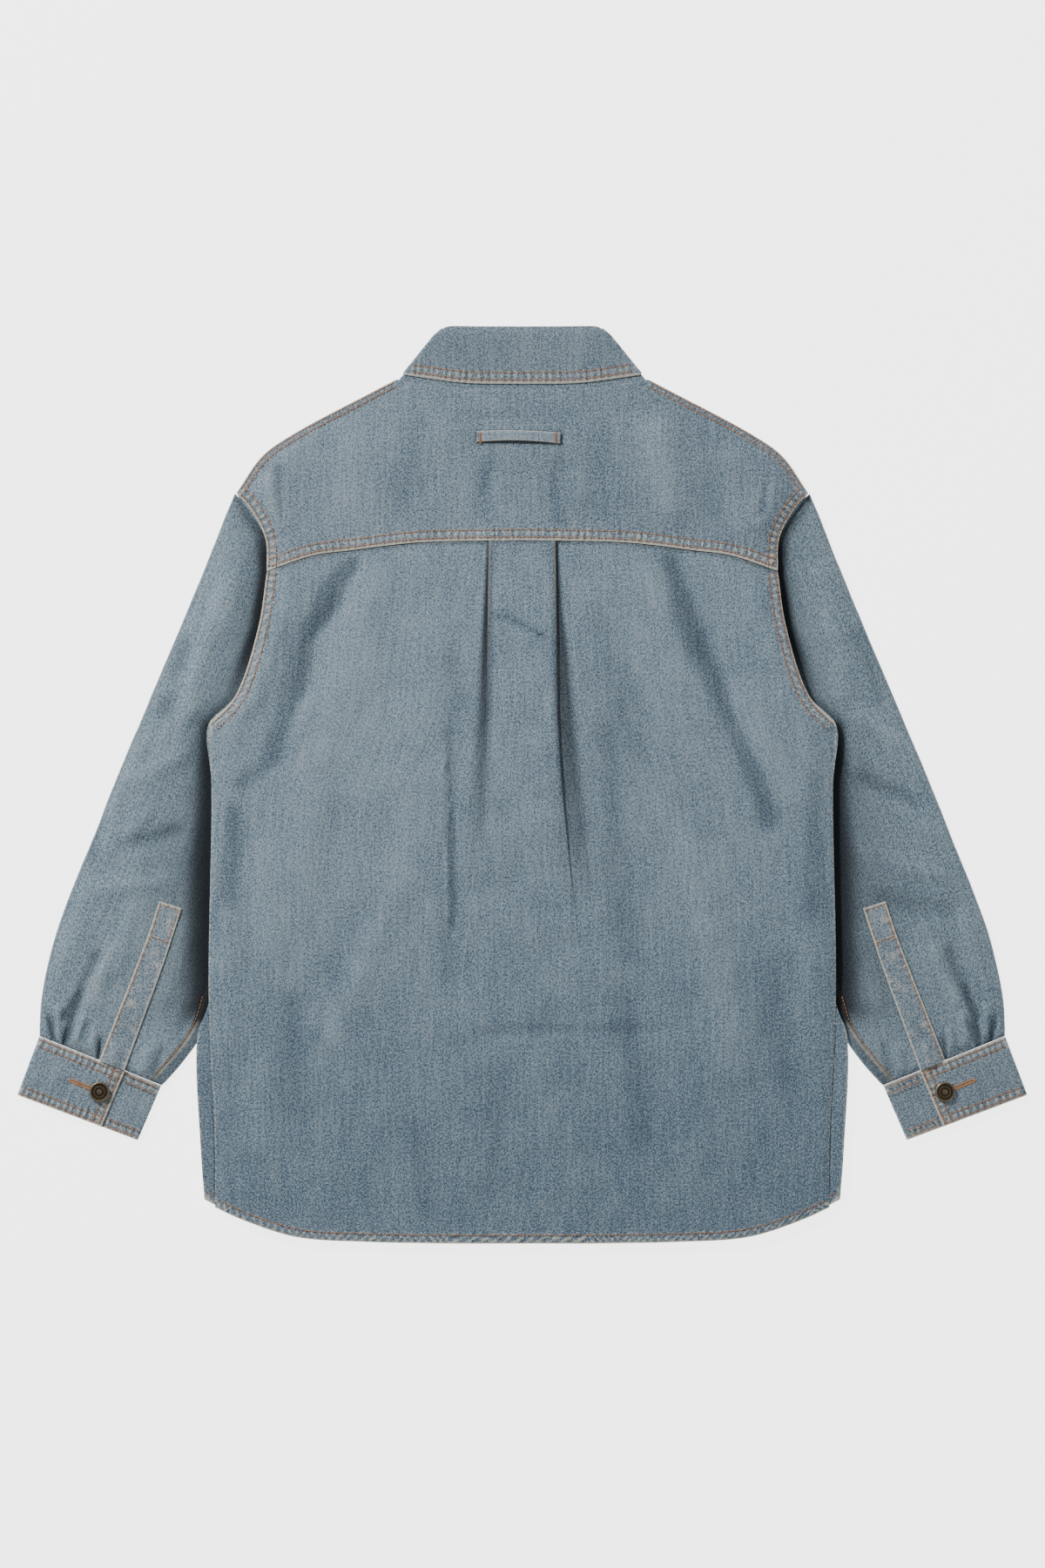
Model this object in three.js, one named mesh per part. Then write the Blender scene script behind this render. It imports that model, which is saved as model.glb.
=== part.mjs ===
// Denim overshirt laid flat, face down: the back is on top, the fronts and sleeves lie on the surface.
// Millimetres. X runs across the shirt, Y from hem to collar, Z up from the surface it lies on.
import * as THREE from 'three';

const { lerp, smoothstep, degToRad } = THREE.MathUtils;

// Cloth and seams
const CLOTH = 1.2;
const GAP = 0.3;
const SEAM_GAP = 0.7;
const LAYER = CLOTH + GAP;
const TURN_RADIUS = LAYER / 2;
const TURN_STEPS = 4;
const HEM_WIDTH = 8;
const HEM_RAISE = 0.8;

// Body
const YOKE_WALL = 1.8;
const YOKE_SEAM_CENTRE = 219;
const HEM_CENTRE = -410.5;
const SEAM_LIFT_AT_PLEAT = 5.6;
const PLACKET_HALF = 17;
const PLACKET_WALL = 1.4;
const PLACKET_Z = 1.8;
const FRONT_NECK_Y = 275;
const BODY_LOFT = 1.2;
const BODY_SLACK = 0.5;
const YOKE_LOFT = 0.9;
const NECK_SHARE = 0.42;
const PLEAT_MARGIN = 12;

// Where one layer rises over another: distances across the shirt, and heights up it.
const OVER_SLEEVE = { from: 70, to: 25 };
const OVER_BUTTONS = { from: PLACKET_HALF, to: 60 };
const OVER_PLACKET = { from: 74, to: 125 };
const OVER_COLLAR_LEAF = { low: 185, high: 222, inner: 125, outer: 165 };
const OVER_STAND = { low: 290, high: 345 };
const LOFT_FADE = { low: 300, high: 345 };
const OVER_PLEAT = { inner: 30, outer: 62, low: 222, high: 300 };
const EDGE_FLAT = { from: 45, to: 5 };

// Sleeves and cuffs
const SLEEVE_STACK = 2 * LAYER;
const SLEEVE_LOFT = 1.8;
const SLEEVE_LEAST_LOFT = 0.2;
const SLEEVE_SWELL = { from: 2, to: 32 };
const SLEEVE_SIDE = 0.012;
const CUFF_WALL = 1.8;
const CUFF_LAYER = CUFF_WALL + GAP;
const CUFF_LAP_END = 0.7;
const CUFF_UNDERLAP_END = 0.46;
const CUFF_BUTTON = { across: 0.585, down: 0.47 };

// Trims
const BUTTON_RADIUS = 9;
const CUFF_BUTTON_HEIGHT = 3;
const FRONT_BUTTON_HEIGHT = 1.5;
const FRONT_BUTTONS = { count: 7, top: 252, pitch: 92 };
const LOOP = { x: -3.5, y: 311.5, length: 75, width: 9.5, wall: 1.6, bow: 1.2 };

// Half outlines: x is the distance from the centre line, y the place up the shirt.
const NECKLINE = [
  { x: 0, y: 354.5 },
  { x: 60, y: 356 },
  { x: 113, y: 363 },
];
const SHOULDER = [
  { x: 113, y: 363 },
  { x: 134, y: 352 },
  { x: 207, y: 313 },
  { x: 233, y: 294 },
  { x: 256, y: 261 },
];
const YOKE_ARMHOLE = [
  { x: 256, y: 261 },
  { x: 244, y: 248 },
  { x: 230, y: 221 },
  { x: 228.5, y: 191.5 },
];
const YOKE_SEAM = [
  { x: 0, y: YOKE_SEAM_CENTRE },
  { x: 93, y: 217 },
  { x: 153, y: 210 },
  { x: 186, y: 205.5 },
  { x: 228.5, y: 191.5 },
];
const BACK_SIDE = [
  { x: 228.5, y: 191.5 },
  { x: 236, y: 141.5 },
  { x: 257, y: 79 },
  { x: 280.5, y: 54 },
  { x: 278, y: 0 },
  { x: 280.5, y: -194 },
  { x: 275, y: -323 },
  { x: 275, y: -378 },
];
const FRONT_SIDE = [
  { x: 256, y: 261 },
  { x: 230, y: 221 },
  { x: 228.5, y: 191.5 },
  { x: 236, y: 141.5 },
  { x: 257, y: 79 },
  { x: 280.5, y: 54 },
  { x: 278, y: 0 },
  { x: 280.5, y: -194 },
  { x: 290.5, y: -224 },
  { x: 288, y: -323 },
  { x: 284.5, y: -371 },
];
const BACK_HEM = [
  { x: 0, y: HEM_CENTRE },
  { x: 140, y: -409 },
  { x: 203, y: -404.5 },
  { x: 251, y: -389 },
  { x: 275, y: -378 },
];
const FRONT_HEM = [
  { x: PLACKET_HALF, y: HEM_CENTRE + 1 },
  { x: 140, y: -408 },
  { x: 203, y: -403.5 },
  { x: 251, y: -388 },
  { x: 284.5, y: -371 },
];
const FRONT_NECKLINE = [
  { x: PLACKET_HALF, y: FRONT_NECK_Y },
  { x: 62, y: 288 },
  { x: 98, y: 324 },
  { x: 113, y: 363 },
];
const SLEEVE_HEAD = [
  { x: 254, y: 257 },
  { x: 224, y: 224 },
  { x: 221, y: 190 },
  { x: 227, y: 130 },
  { x: 234, y: 40 },
];
const SLEEVE_OUTER = [
  { x: 254, y: 257 },
  { x: 283, y: 196 },
  { x: 333, y: 79 },
  { x: 381, y: -38 },
  { x: 418, y: -135 },
  { x: 430, y: -190 },
  { x: 432, y: -225 },
];
const SLEEVE_INNER = [
  { x: 234, y: 40 },
  { x: 245, y: -77 },
  { x: 261, y: -139 },
  { x: 281, y: -194 },
  { x: 289.5, y: -220 },
  { x: 306, y: -246 },
  { x: 323, y: -269 },
];
// The strip over a sleeve's opening, from its square top to the cuff.
const STRIP_OUTER = [
  { x: 325, y: -104 },
  { x: 335, y: -134.5 },
  { x: 378.6, y: -246.5 },
];
const STRIP_INNER = [
  { x: 304.8, y: -110.5 },
  { x: 315, y: -142 },
  { x: 340, y: -212 },
  { x: 356, y: -255.6 },
];

// Box pleat below the yoke: where its fold edge lies, how deep the cloth folds under, how far it turns.
const PLEAT = [
  { y: YOKE_SEAM_CENTRE, edge: 30.5, under: 20, turn: 180 },
  { y: 64, edge: 33.5, under: 15, turn: 180 },
  { y: -40, edge: 38, under: 7, turn: 180 },
  { y: -105, edge: 46, under: 0.6, turn: 176 },
  { y: -170, edge: 54, under: 0.6, turn: 80 },
  { y: -240, edge: 58, under: 0.6, turn: 12 },
  { y: HEM_CENTRE, edge: 60, under: 0.6, turn: 2 },
];

// Soft folds of the back: a ridge where height is positive, a trough where it is negative.
const BACK_FOLDS = [
  { x: -144, y: 204, toX: -198, toY: 100, width: 13, height: -1.5 },
  { x: -198, y: 100, toX: -255, toY: 0, width: 15, height: -1.4 },
  { x: -122, y: 200, toX: -176, toY: 60, width: 20, height: 1.3 },
  { x: -176, y: 60, toX: -208, toY: -150, width: 26, height: 1.2 },
  { x: -206, y: -190, toX: -200, toY: -300, width: 12, height: -1.1 },
  { x: -140, y: -165, toX: -172, toY: -235, width: 14, height: 1.0 },
  { x: 129, y: 212, toX: 164, toY: 110, width: 12, height: -1.4 },
  { x: 164, y: 110, toX: 226, toY: -38, width: 16, height: -1.3 },
  { x: 104, y: 190, toX: 140, toY: 60, width: 20, height: 1.2 },
  { x: 205, y: 90, toX: 246, toY: -20, width: 18, height: 1.1 },
  { x: 150, y: -60, toX: 190, toY: -250, width: 24, height: 1.1 },
  { x: 92, y: -180, toX: 110, toY: -330, width: 14, height: -0.9 },
];
const YOKE_FOLDS = [
  { x: -30, y: 290, toX: -34, toY: 232, width: 11, height: -0.8 },
  { x: 34, y: 290, toX: 32, toY: 232, width: 11, height: -0.8 },
  { x: 114, y: 328, toX: 138, toY: 240, width: 14, height: 1.1 },
  { x: -226, y: 278, toX: -214, toY: 232, width: 9, height: 1.0 },
];
// Folds of a sleeve and the three small pleats that run up from its cuff.
const SLEEVE_FOLDS = [
  { x: 262, y: 190, toX: 300, toY: 60, width: 13, height: 1.1 },
  { x: 300, y: 30, toX: 352, toY: 0, width: 12, height: 1.2 },
  { x: 304, y: -40, toX: 366, toY: -56, width: 11, height: -1.0 },
  { x: 312, y: -84, toX: 392, toY: -96, width: 12, height: 1.0 },
  { x: 425, y: -224, toX: 420, toY: -196, width: 5, height: 1.3 },
  { x: 411, y: -230, toX: 388, toY: -172, width: 6, height: 1.5 },
  { x: 382, y: -244, toX: 376, toY: -222, width: 4, height: 1.0 },
];

// Collar in sections from the centre back round to the front: the fold line, the neck seam, the outer edge.
const COLLAR = [
  { foldX: 0, foldY: 410.5, seamX: 0, seamY: 355, edgeX: 0, edgeY: 359, front: false },
  { foldX: 35, foldY: 410.5, seamX: 50, seamY: 356, edgeX: 52, edgeY: 360, front: false },
  { foldX: 66, foldY: 409, seamX: 106, seamY: 362.5, edgeX: 105, edgeY: 367, front: false },
  { foldX: 66, foldY: 409, seamX: 106, seamY: 362.5, edgeX: 105, edgeY: 367, front: true },
  { foldX: 52, foldY: 362, seamX: 94, seamY: 320, edgeX: 112, edgeY: 318, front: true },
  { foldX: 32, foldY: 326, seamX: 60, seamY: 289, edgeX: 92, edgeY: 270, front: true },
  { foldX: 9, foldY: 304, seamX: 18, seamY: 277, edgeX: 60, edgeY: 232, front: true },
];
const STAND_LEVEL = { back: 3.6, front: 2.1 };
const FALL_LEVEL = { back: 5.1, front: 0.6 };

const DENIM = { color: 0x77858f, roughness: 0.9, metalness: 0 };
const DENIM_PALE = { color: 0x82909a, roughness: 0.9, metalness: 0 };
const DENIM_SLEEVE = { color: 0x6f7d88, roughness: 0.9, metalness: 0 };
const BRASS = { color: 0x5c4f3a, roughness: 0.45, metalness: 0.8 };

const point = (x, y, z) => new THREE.Vector3(x, y, z);

// A smooth line through the rows of a table, as a function from 0 to 1 along its length.
function lineThrough(rows) {
  const curve = new THREE.CatmullRomCurve3(rows.map((row) => point(row.x, row.y, 0)), false, 'centripetal');
  return (t) => curve.getPointAt(Math.min(Math.max(t, 0), 1));
}

// Two lines end to end, meeting at share t of the whole.
function joinedAt(share, first, second) {
  return (t) => (t < share ? first(t / share) : second((t - share) / (1 - share)));
}

// A column of a table, read between its rows by their y, which falls from row to row.
function columnAt(rows, y, name) {
  if (y >= rows[0].y) return rows[0][name];
  for (let i = 1; i < rows.length; i++) {
    const above = rows[i - 1];
    const below = rows[i];
    if (y >= below.y) return lerp(below[name], above[name], (y - below.y) / (above.y - below.y));
  }
  return rows[rows.length - 1][name];
}

// A patch between four edge lines, as a function of u across and v down.
function patchBetween(top, bottom, near, far) {
  return (u, v) => {
    const across = top(u).multiplyScalar(1 - v).addScaledVector(bottom(u), v);
    const down = near(v).multiplyScalar(1 - u).addScaledVector(far(v), u);
    const nearCorners = top(0).multiplyScalar(1 - v).addScaledVector(bottom(0), v);
    const farCorners = top(1).multiplyScalar(1 - v).addScaledVector(bottom(1), v);
    return across.add(down).addScaledVector(nearCorners, u - 1).addScaledVector(farCorners, -u);
  };
}

function steps(count, from = 0, to = 1) {
  return Array.from({ length: count + 1 }, (_, i) => lerp(from, to, i / count));
}

// A closed wall of cloth from rows of point pairs: outer is its right side, inner its wrong side.
function clothWall(rows, isTube = false) {
  const columns = rows[0].length;
  const innerStart = rows.length * columns;
  const last = rows.length - 1;
  const spans = isTube ? columns : columns - 1;
  const positions = [];
  for (const side of ['outer', 'inner']) {
    for (const row of rows) {
      for (const pair of row) positions.push(...pair[side].toArray());
    }
  }
  const index = [];
  const outer = (j, i) => j * columns + (i % columns);
  const inner = (j, i) => innerStart + outer(j, i);
  const quad = (a, b, c, d) => index.push(a, b, c, a, c, d);
  for (let i = 0; i < spans; i++) {
    for (let j = 0; j < last; j++) {
      quad(outer(j, i), outer(j, i + 1), outer(j + 1, i + 1), outer(j + 1, i));
      quad(inner(j, i), inner(j + 1, i), inner(j + 1, i + 1), inner(j, i + 1));
    }
    quad(outer(0, i + 1), outer(0, i), inner(0, i), inner(0, i + 1));
    quad(outer(last, i), outer(last, i + 1), inner(last, i + 1), inner(last, i));
  }
  if (!isTube) {
    for (let j = 0; j < last; j++) {
      quad(outer(j, 0), outer(j + 1, 0), inner(j + 1, 0), inner(j, 0));
      quad(outer(j + 1, spans), outer(j, spans), inner(j, spans), inner(j + 1, spans));
    }
  }
  return facingOut(positions, index);
}

// The geometry of a closed mesh, with its triangles turned over if they enclose a negative volume.
function facingOut(positions, index) {
  const corner = (i) => point(...positions.slice(3 * index[i], 3 * index[i] + 3));
  let volume = 0;
  for (let i = 0; i < index.length; i += 3) volume += corner(i).dot(corner(i + 1).cross(corner(i + 2)));
  const geometry = new THREE.BufferGeometry();
  geometry.setAttribute('position', new THREE.Float32BufferAttribute(positions, 3));
  geometry.setIndex(volume < 0 ? index.reverse() : index);
  geometry.computeVertexNormals();
  return geometry;
}

// A pair of points at one place in a level layer, z being its underside.
function levelPair(place, z, wall = CLOTH) {
  return { outer: point(place.x, place.y, z + wall), inner: point(place.x, place.y, z) };
}

// A pair of points either side of the middle of a layer.
function pairAbout(middle, normal, wall = CLOTH) {
  return {
    outer: middle.clone().addScaledVector(normal, wall / 2),
    inner: middle.clone().addScaledVector(normal, -wall / 2),
  };
}

const mirrored = (place) => point(-place.x, place.y, place.z);
const mirrorPair = (pair) => ({ outer: mirrored(pair.outer), inner: mirrored(pair.inner) });

function foldHeight(folds, x, y) {
  let height = 0;
  for (const fold of folds) {
    const alongX = fold.toX - fold.x;
    const alongY = fold.toY - fold.y;
    const length = Math.hypot(alongX, alongY);
    const share = ((x - fold.x) * alongX + (y - fold.y) * alongY) / (length * length);
    const inside = Math.min(Math.max(share, 0), 1);
    const off = Math.hypot(x - fold.x - inside * alongX, y - fold.y - inside * alongY);
    height += fold.height * Math.exp(-((off / fold.width) ** 2));
  }
  return height;
}

// How far in under the body a sleeve reaches at a height up the shirt.
const SLEEVE_REACH = [...SLEEVE_HEAD, ...SLEEVE_INNER.slice(1)];
const sleeveReach = (y) => columnAt(SLEEVE_REACH, y, 'x');

// How far out the body reaches, where the sleeve comes out from under it.
const BODY_REACH = [...SHOULDER.slice(0, -1), ...FRONT_SIDE];
const bodyEdge = (y) => columnAt(BODY_REACH, y, 'x');

// Underside of the front: on the surface, but lifted over the sleeves, the buttons and the collar leaves.
function frontUnderside(x, y) {
  const across = Math.abs(x);
  const reach = sleeveReach(y);
  const leaf = OVER_COLLAR_LEAF;
  const overSleeve = SLEEVE_STACK * smoothstep(across, reach - OVER_SLEEVE.from, reach - OVER_SLEEVE.to);
  const overButtons = PLACKET_Z * (1 - smoothstep(across, OVER_BUTTONS.from, OVER_BUTTONS.to));
  const leafShare = smoothstep(y, leaf.low, leaf.high) * (1 - smoothstep(across, leaf.inner, leaf.outer));
  return Math.max(overSleeve, overButtons, LAYER * leafShare);
}

// Share of the full loft, which falls to none at the body's edge.
function loftShare(across, y) {
  return 1 - smoothstep(across, bodyEdge(y) - EDGE_FLAT.from, bodyEdge(y) - EDGE_FLAT.to);
}

function backUnderside(x, y) {
  const across = Math.abs(x);
  const loft = Math.max(0, BODY_LOFT + foldHeight(BACK_FOLDS, x, y)) * loftShare(across, y);
  const placketTop = PLACKET_Z + PLACKET_WALL + GAP - LAYER;
  const overPlacket = placketTop * (1 - smoothstep(across, OVER_PLACKET.from, OVER_PLACKET.to));
  return Math.max(frontUnderside(x, y), overPlacket) + LAYER + BODY_SLACK + loft;
}

function yokeUnderside(x, y) {
  const across = Math.abs(x);
  const pleat = OVER_PLEAT;
  const folds = Math.max(0, YOKE_LOFT + foldHeight(YOKE_FOLDS, x, y));
  const loft = folds * loftShare(across, y) * (1 - smoothstep(y, LOFT_FADE.low, LOFT_FADE.high));
  const nearNeck = (STAND_LEVEL.back - CLOTH / 2) * smoothstep(y, OVER_STAND.low, OVER_STAND.high);
  const nearPleat = 1 - smoothstep(across, pleat.inner, pleat.outer);
  const nearSeam = 1 - smoothstep(y, pleat.low, pleat.high);
  return Math.max(frontUnderside(x, y) + LAYER + loft, nearNeck, SEAM_LIFT_AT_PLEAT * nearPleat * nearSeam);
}

// Rows down a panel, close together where the hem is turned up.
function rowsToHem(count, length) {
  const hem = 1 - HEM_WIDTH / length;
  return [...steps(count, 0, hem), hem + 0.001, 1];
}

function raiseHem(pair, v, length) {
  if (v > 1 - HEM_WIDTH / length) pair.outer.z += HEM_RAISE;
  return pair;
}

function backYoke() {
  const centre = [NECKLINE[0], YOKE_SEAM[0]];
  const patch = patchBetween(
    joinedAt(NECK_SHARE, lineThrough(NECKLINE), lineThrough(SHOULDER)),
    lineThrough(YOKE_SEAM),
    lineThrough(centre),
    lineThrough(YOKE_ARMHOLE),
  );
  const half = [...steps(6, 0, NECK_SHARE), ...steps(7, NECK_SHARE, 1).slice(1)];
  const across = [...half.slice(1).reverse().map((u) => -u), ...half];
  const rows = steps(8).map((v) =>
    across.map((u) => {
      const place = patch(Math.abs(u), v);
      if (u < 0) place.x = -place.x;
      return levelPair(place, yokeUnderside(place.x, place.y), YOKE_WALL);
    }),
  );
  return clothWall(rows);
}

// Half of the pleat in section, from the side panel to the centre line: where the cloth runs and faces.
function pleatSection(y, sideLevel) {
  const turn = degToRad(columnAt(PLEAT, y, 'turn'));
  const under = columnAt(PLEAT, y, 'under');
  const radius = TURN_RADIUS;
  const outerX = columnAt(PLEAT, y, 'edge') - radius;
  const section = [];
  let x = outerX + 2 * radius * Math.sin(turn) + under * Math.cos(turn);
  let z = sideLevel;
  const add = (angle, dx, dz) => {
    section.push({ middle: point(x + dx, y, z + dz), normal: point(Math.sin(angle), 0, Math.cos(angle)) });
  };
  for (const angle of steps(TURN_STEPS, 0, turn)) {
    add(angle, -radius * Math.sin(angle), radius * (1 - Math.cos(angle)));
  }
  x -= radius * Math.sin(turn) + under * Math.cos(turn);
  z += radius * (1 - Math.cos(turn)) + under * Math.sin(turn);
  for (const angle of steps(TURN_STEPS, 0, turn)) {
    const facing = turn - angle;
    add(facing, radius * (Math.sin(facing) - Math.sin(turn)), radius * (Math.cos(facing) - Math.cos(turn)));
  }
  const top = section[section.length - 1].middle;
  for (const share of [0.6, 0.25, 0]) {
    section.push({ middle: point(top.x * share, y, top.z), normal: point(0, 0, 1) });
  }
  return section;
}

function backPanel() {
  const length = YOKE_SEAM_CENTRE - HEM_CENTRE;
  const top = YOKE_SEAM_CENTRE - SEAM_GAP;
  const pleatSide = (v) => {
    const y = lerp(top, HEM_CENTRE, v);
    return point(columnAt(PLEAT, y, 'edge') + PLEAT_MARGIN, y, 0);
  };
  const belowYoke = YOKE_SEAM.slice(1).map(({ x, y }) => ({ x, y: y - SEAM_GAP }));
  const seam = lineThrough([{ x: pleatSide(0).x, y: top }, ...belowYoke]);
  const hem = lineThrough([{ x: pleatSide(1).x, y: HEM_CENTRE }, ...BACK_HEM.slice(1)]);
  const side = lineThrough(BACK_SIDE.map(({ x, y }, i) => ({ x, y: i === 0 ? y - SEAM_GAP : y })));
  const patch = patchBetween(seam, hem, pleatSide, side);
  const across = steps(8, 1, 0);
  const rows = rowsToHem(17, length).map((v) => {
    const sideRow = (sign) =>
      across.map((u) => {
        const place = patch(u, v);
        place.x *= sign;
        return levelPair(place, backUnderside(place.x, place.y));
      });
    const right = sideRow(1);
    const left = sideRow(-1);
    const y = lerp(top, HEM_CENTRE, v);
    const pleatHalf = (pairs) => {
      const sideLevel = pairs[pairs.length - 1].inner.z + CLOTH / 2;
      return pleatSection(y, sideLevel).map(({ middle, normal }) => pairAbout(middle, normal));
    };
    const rightPleat = pleatHalf(right);
    const leftPleat = pleatHalf(left).map(mirrorPair);
    const centre = rightPleat.pop();
    leftPleat.pop();
    const all = [...left, ...leftPleat, centre, ...rightPleat.reverse(), ...right.reverse()];
    return all.map((pair) => raiseHem(pair, v, length));
  });
  return clothWall(rows);
}

function frontPanel(sign) {
  const length = FRONT_NECK_Y - HEM_CENTRE;
  const edge = PLACKET_HALF + GAP;
  const centre = [
    { x: edge, y: FRONT_NECK_Y },
    { x: edge, y: HEM_CENTRE + 1 },
  ];
  const moved = (rows) => rows.map(({ x, y }, i) => ({ x: i === 0 ? edge : x, y }));
  const patch = patchBetween(
    joinedAt(NECK_SHARE, lineThrough(moved(FRONT_NECKLINE)), lineThrough(SHOULDER)),
    lineThrough(moved(FRONT_HEM)),
    lineThrough(centre),
    lineThrough(FRONT_SIDE),
  );
  const rows = rowsToHem(16, length).map((v) =>
    steps(11).map((u) => {
      const place = patch(u, v);
      const pair = levelPair(place, frontUnderside(place.x, place.y));
      pair.outer.x *= sign;
      pair.inner.x *= sign;
      return pair;
    }),
  );
  return clothWall(rows);
}

function frontPlacket() {
  const rows = steps(16, FRONT_NECK_Y, HEM_CENTRE + 1).map((y) =>
    steps(2, -PLACKET_HALF, PLACKET_HALF).map((x) => levelPair(point(x, y, 0), PLACKET_Z, PLACKET_WALL)),
  );
  return clothWall(rows);
}

const sleevePatch = patchBetween(
  lineThrough(SLEEVE_HEAD),
  lineThrough([SLEEVE_OUTER[SLEEVE_OUTER.length - 1], SLEEVE_INNER[SLEEVE_INNER.length - 1]]),
  lineThrough(SLEEVE_OUTER),
  lineThrough(SLEEVE_INNER),
);

// Height of the middle of a sleeve's upper layer above the middle of its lower one.
function sleeveRise(place) {
  const edge = bodyEdge(place.y);
  const out = smoothstep(place.x, edge + SLEEVE_SWELL.from, edge + SLEEVE_SWELL.to);
  const loft = SLEEVE_LOFT + foldHeight(SLEEVE_FOLDS, place.x, place.y);
  return LAYER + out * Math.max(SLEEVE_LEAST_LOFT, loft);
}

function sleeve(sign) {
  const across = steps(13, SLEEVE_SIDE, 1 - SLEEVE_SIDE);
  const rows = steps(18).map((v) => {
    const ring = [];
    const up = point(0, 0, 1);
    const down = point(0, 0, -1);
    const addTurn = (u, toward) => {
      const place = sleevePatch(u, v);
      const radius = sleeveRise(place) / 2;
      const out = place.clone().sub(sleevePatch(toward, v)).normalize();
      for (const angle of steps(TURN_STEPS, -Math.PI / 2, Math.PI / 2).slice(1, -1)) {
        const turn = u < 0.5 ? angle : -angle;
        const normal = out.clone().multiplyScalar(Math.cos(turn)).setZ(Math.sin(turn));
        const middle = place.clone().setZ(CLOTH / 2 + radius).addScaledVector(normal, radius);
        ring.push(pairAbout(middle, normal));
      }
    };
    for (const u of across) {
      const place = sleevePatch(u, v);
      ring.push(pairAbout(place.clone().setZ(CLOTH / 2 + sleeveRise(place)), up));
    }
    addTurn(1 - SLEEVE_SIDE, 0.9);
    for (const u of [...across].reverse()) ring.push(pairAbout(sleevePatch(u, v).setZ(CLOTH / 2), down));
    addTurn(SLEEVE_SIDE, 0.1);
    return sign > 0 ? ring : ring.map(mirrorPair);
  });
  return clothWall(rows, true);
}

// A strip on the sleeve over its opening, on the sleeve's own height.
function sleevePlacket(sign) {
  const outer = lineThrough(STRIP_OUTER);
  const inner = lineThrough(STRIP_INNER);
  const rows = steps(20).map((share) =>
    steps(3).map((side) => {
      const place = outer(share).lerp(inner(share), side);
      const pair = levelPair(place, CLOTH + sleeveRise(place) + SEAM_GAP);
      return sign > 0 ? pair : mirrorPair(pair);
    }),
  );
  return clothWall(rows);
}

// Corners of a cuff lying flat: outer and inner end of its seam with the sleeve, and of its free edge.
const CUFF_SEAM = [point(432.8, -225.1, 0), point(322.9, -269.5, 0)];
const CUFF_EDGE = [point(452.5, -277.5, 0), point(344, -318.2, 0)];
const cuffPlace = (across, down) =>
  CUFF_SEAM[0].clone().lerp(CUFF_SEAM[1], across).lerp(CUFF_EDGE[0].clone().lerp(CUFF_EDGE[1], across), down);

// The cuff in section: over the button, round the outer fold, under, round the inner fold, to the underlap.
function cuffSection() {
  const low = CUFF_WALL / 2;
  const middle = low + CUFF_LAYER;
  const high = middle + CUFF_LAYER;
  const thin = 0.02;
  return [
    { across: CUFF_LAP_END, z: high, angle: 90 },
    { across: 0.56, z: high, angle: 90 },
    { across: CUFF_UNDERLAP_END, z: high, angle: 90 },
    { across: 0.36, z: high - 0.7, angle: 90 },
    { across: 0.22, z: middle + 0.6, angle: 90 },
    { across: 0.1, z: middle + 0.3, angle: 90 },
    { across: thin, z: middle, angle: 90 },
    { across: thin - 0.007, z: middle - 0.3, angle: 135 },
    { across: thin - 0.01, z: (low + middle) / 2, angle: 180 },
    { across: thin - 0.007, z: low + 0.3, angle: 225 },
    { across: thin, z: low, angle: 270 },
    { across: 0.35, z: low, angle: 270 },
    { across: 0.7, z: low, angle: 270 },
    { across: 1 - thin, z: low, angle: 270 },
    { across: 1 - thin + 0.007, z: low + 0.3, angle: 315 },
    { across: 1 - thin + 0.01, z: (low + middle) / 2, angle: 0 },
    { across: 1 - thin + 0.007, z: middle - 0.3, angle: 45 },
    { across: 1 - thin, z: middle, angle: 90 },
    { across: 0.75, z: middle, angle: 90 },
    { across: CUFF_UNDERLAP_END + 0.02, z: middle, angle: 90 },
  ];
}

function cuff(sign) {
  const inward = CUFF_SEAM[1].clone().sub(CUFF_SEAM[0]).normalize();
  const rows = steps(4).map((down) =>
    cuffSection().map(({ across, z, angle }) => {
      const turn = degToRad(angle);
      const normal = inward.clone().multiplyScalar(Math.cos(turn)).setZ(Math.sin(turn));
      const pair = pairAbout(cuffPlace(across, down).setZ(z), normal, CUFF_WALL);
      return sign > 0 ? pair : mirrorPair(pair);
    }),
  );
  return clothWall(rows);
}

// A collar layer between two named lines of the collar table, on the given levels at back and front.
function collarLayer(from, to, level, inset) {
  const lineOf = (rows, name) => lineThrough(rows.map((row) => ({ x: row[`${name}X`], y: row[`${name}Y`] })));
  const back = COLLAR.filter((row) => !row.front);
  const front = COLLAR.filter((row) => row.front);
  const radius = (level.back - level.front) / 2;
  const downSteps = steps(4, inset, 1);
  const section = (line, t, z, facing) =>
    downSteps.map((down) => {
      const place = line(from, t).lerp(line(to, t), down).setZ(z);
      return pairAbout(place, point(0, 0, facing));
    });
  const backLine = (name, t) => lineOf(back, name)(t);
  const frontLine = (name, t) => lineOf(front, name)(t);
  const half = steps(8).map((t) => section(backLine, t, level.back, 1));
  const sideEnd = back[back.length - 1];
  const slope = point(sideEnd.edgeX - sideEnd.foldX, sideEnd.edgeY - sideEnd.foldY, 0).normalize();
  const out = point(-slope.y, slope.x, 0);
  for (const angle of steps(6, 90, -90).slice(1, -1)) {
    const normal = out.clone().multiplyScalar(Math.cos(degToRad(angle))).setZ(Math.sin(degToRad(angle)));
    const middleZ = (level.back + level.front) / 2;
    half.push(
      downSteps.map((down) => {
        const place = backLine(from, 1).lerp(backLine(to, 1), down).setZ(middleZ);
        return pairAbout(place.addScaledVector(normal, radius), normal);
      }),
    );
  }
  half.push(...steps(10).map((t) => section(frontLine, t, level.front, -1)));
  const other = half.slice(1).reverse().map((row) => row.map(mirrorPair));
  return clothWall([...other, ...half]);
}

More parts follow.
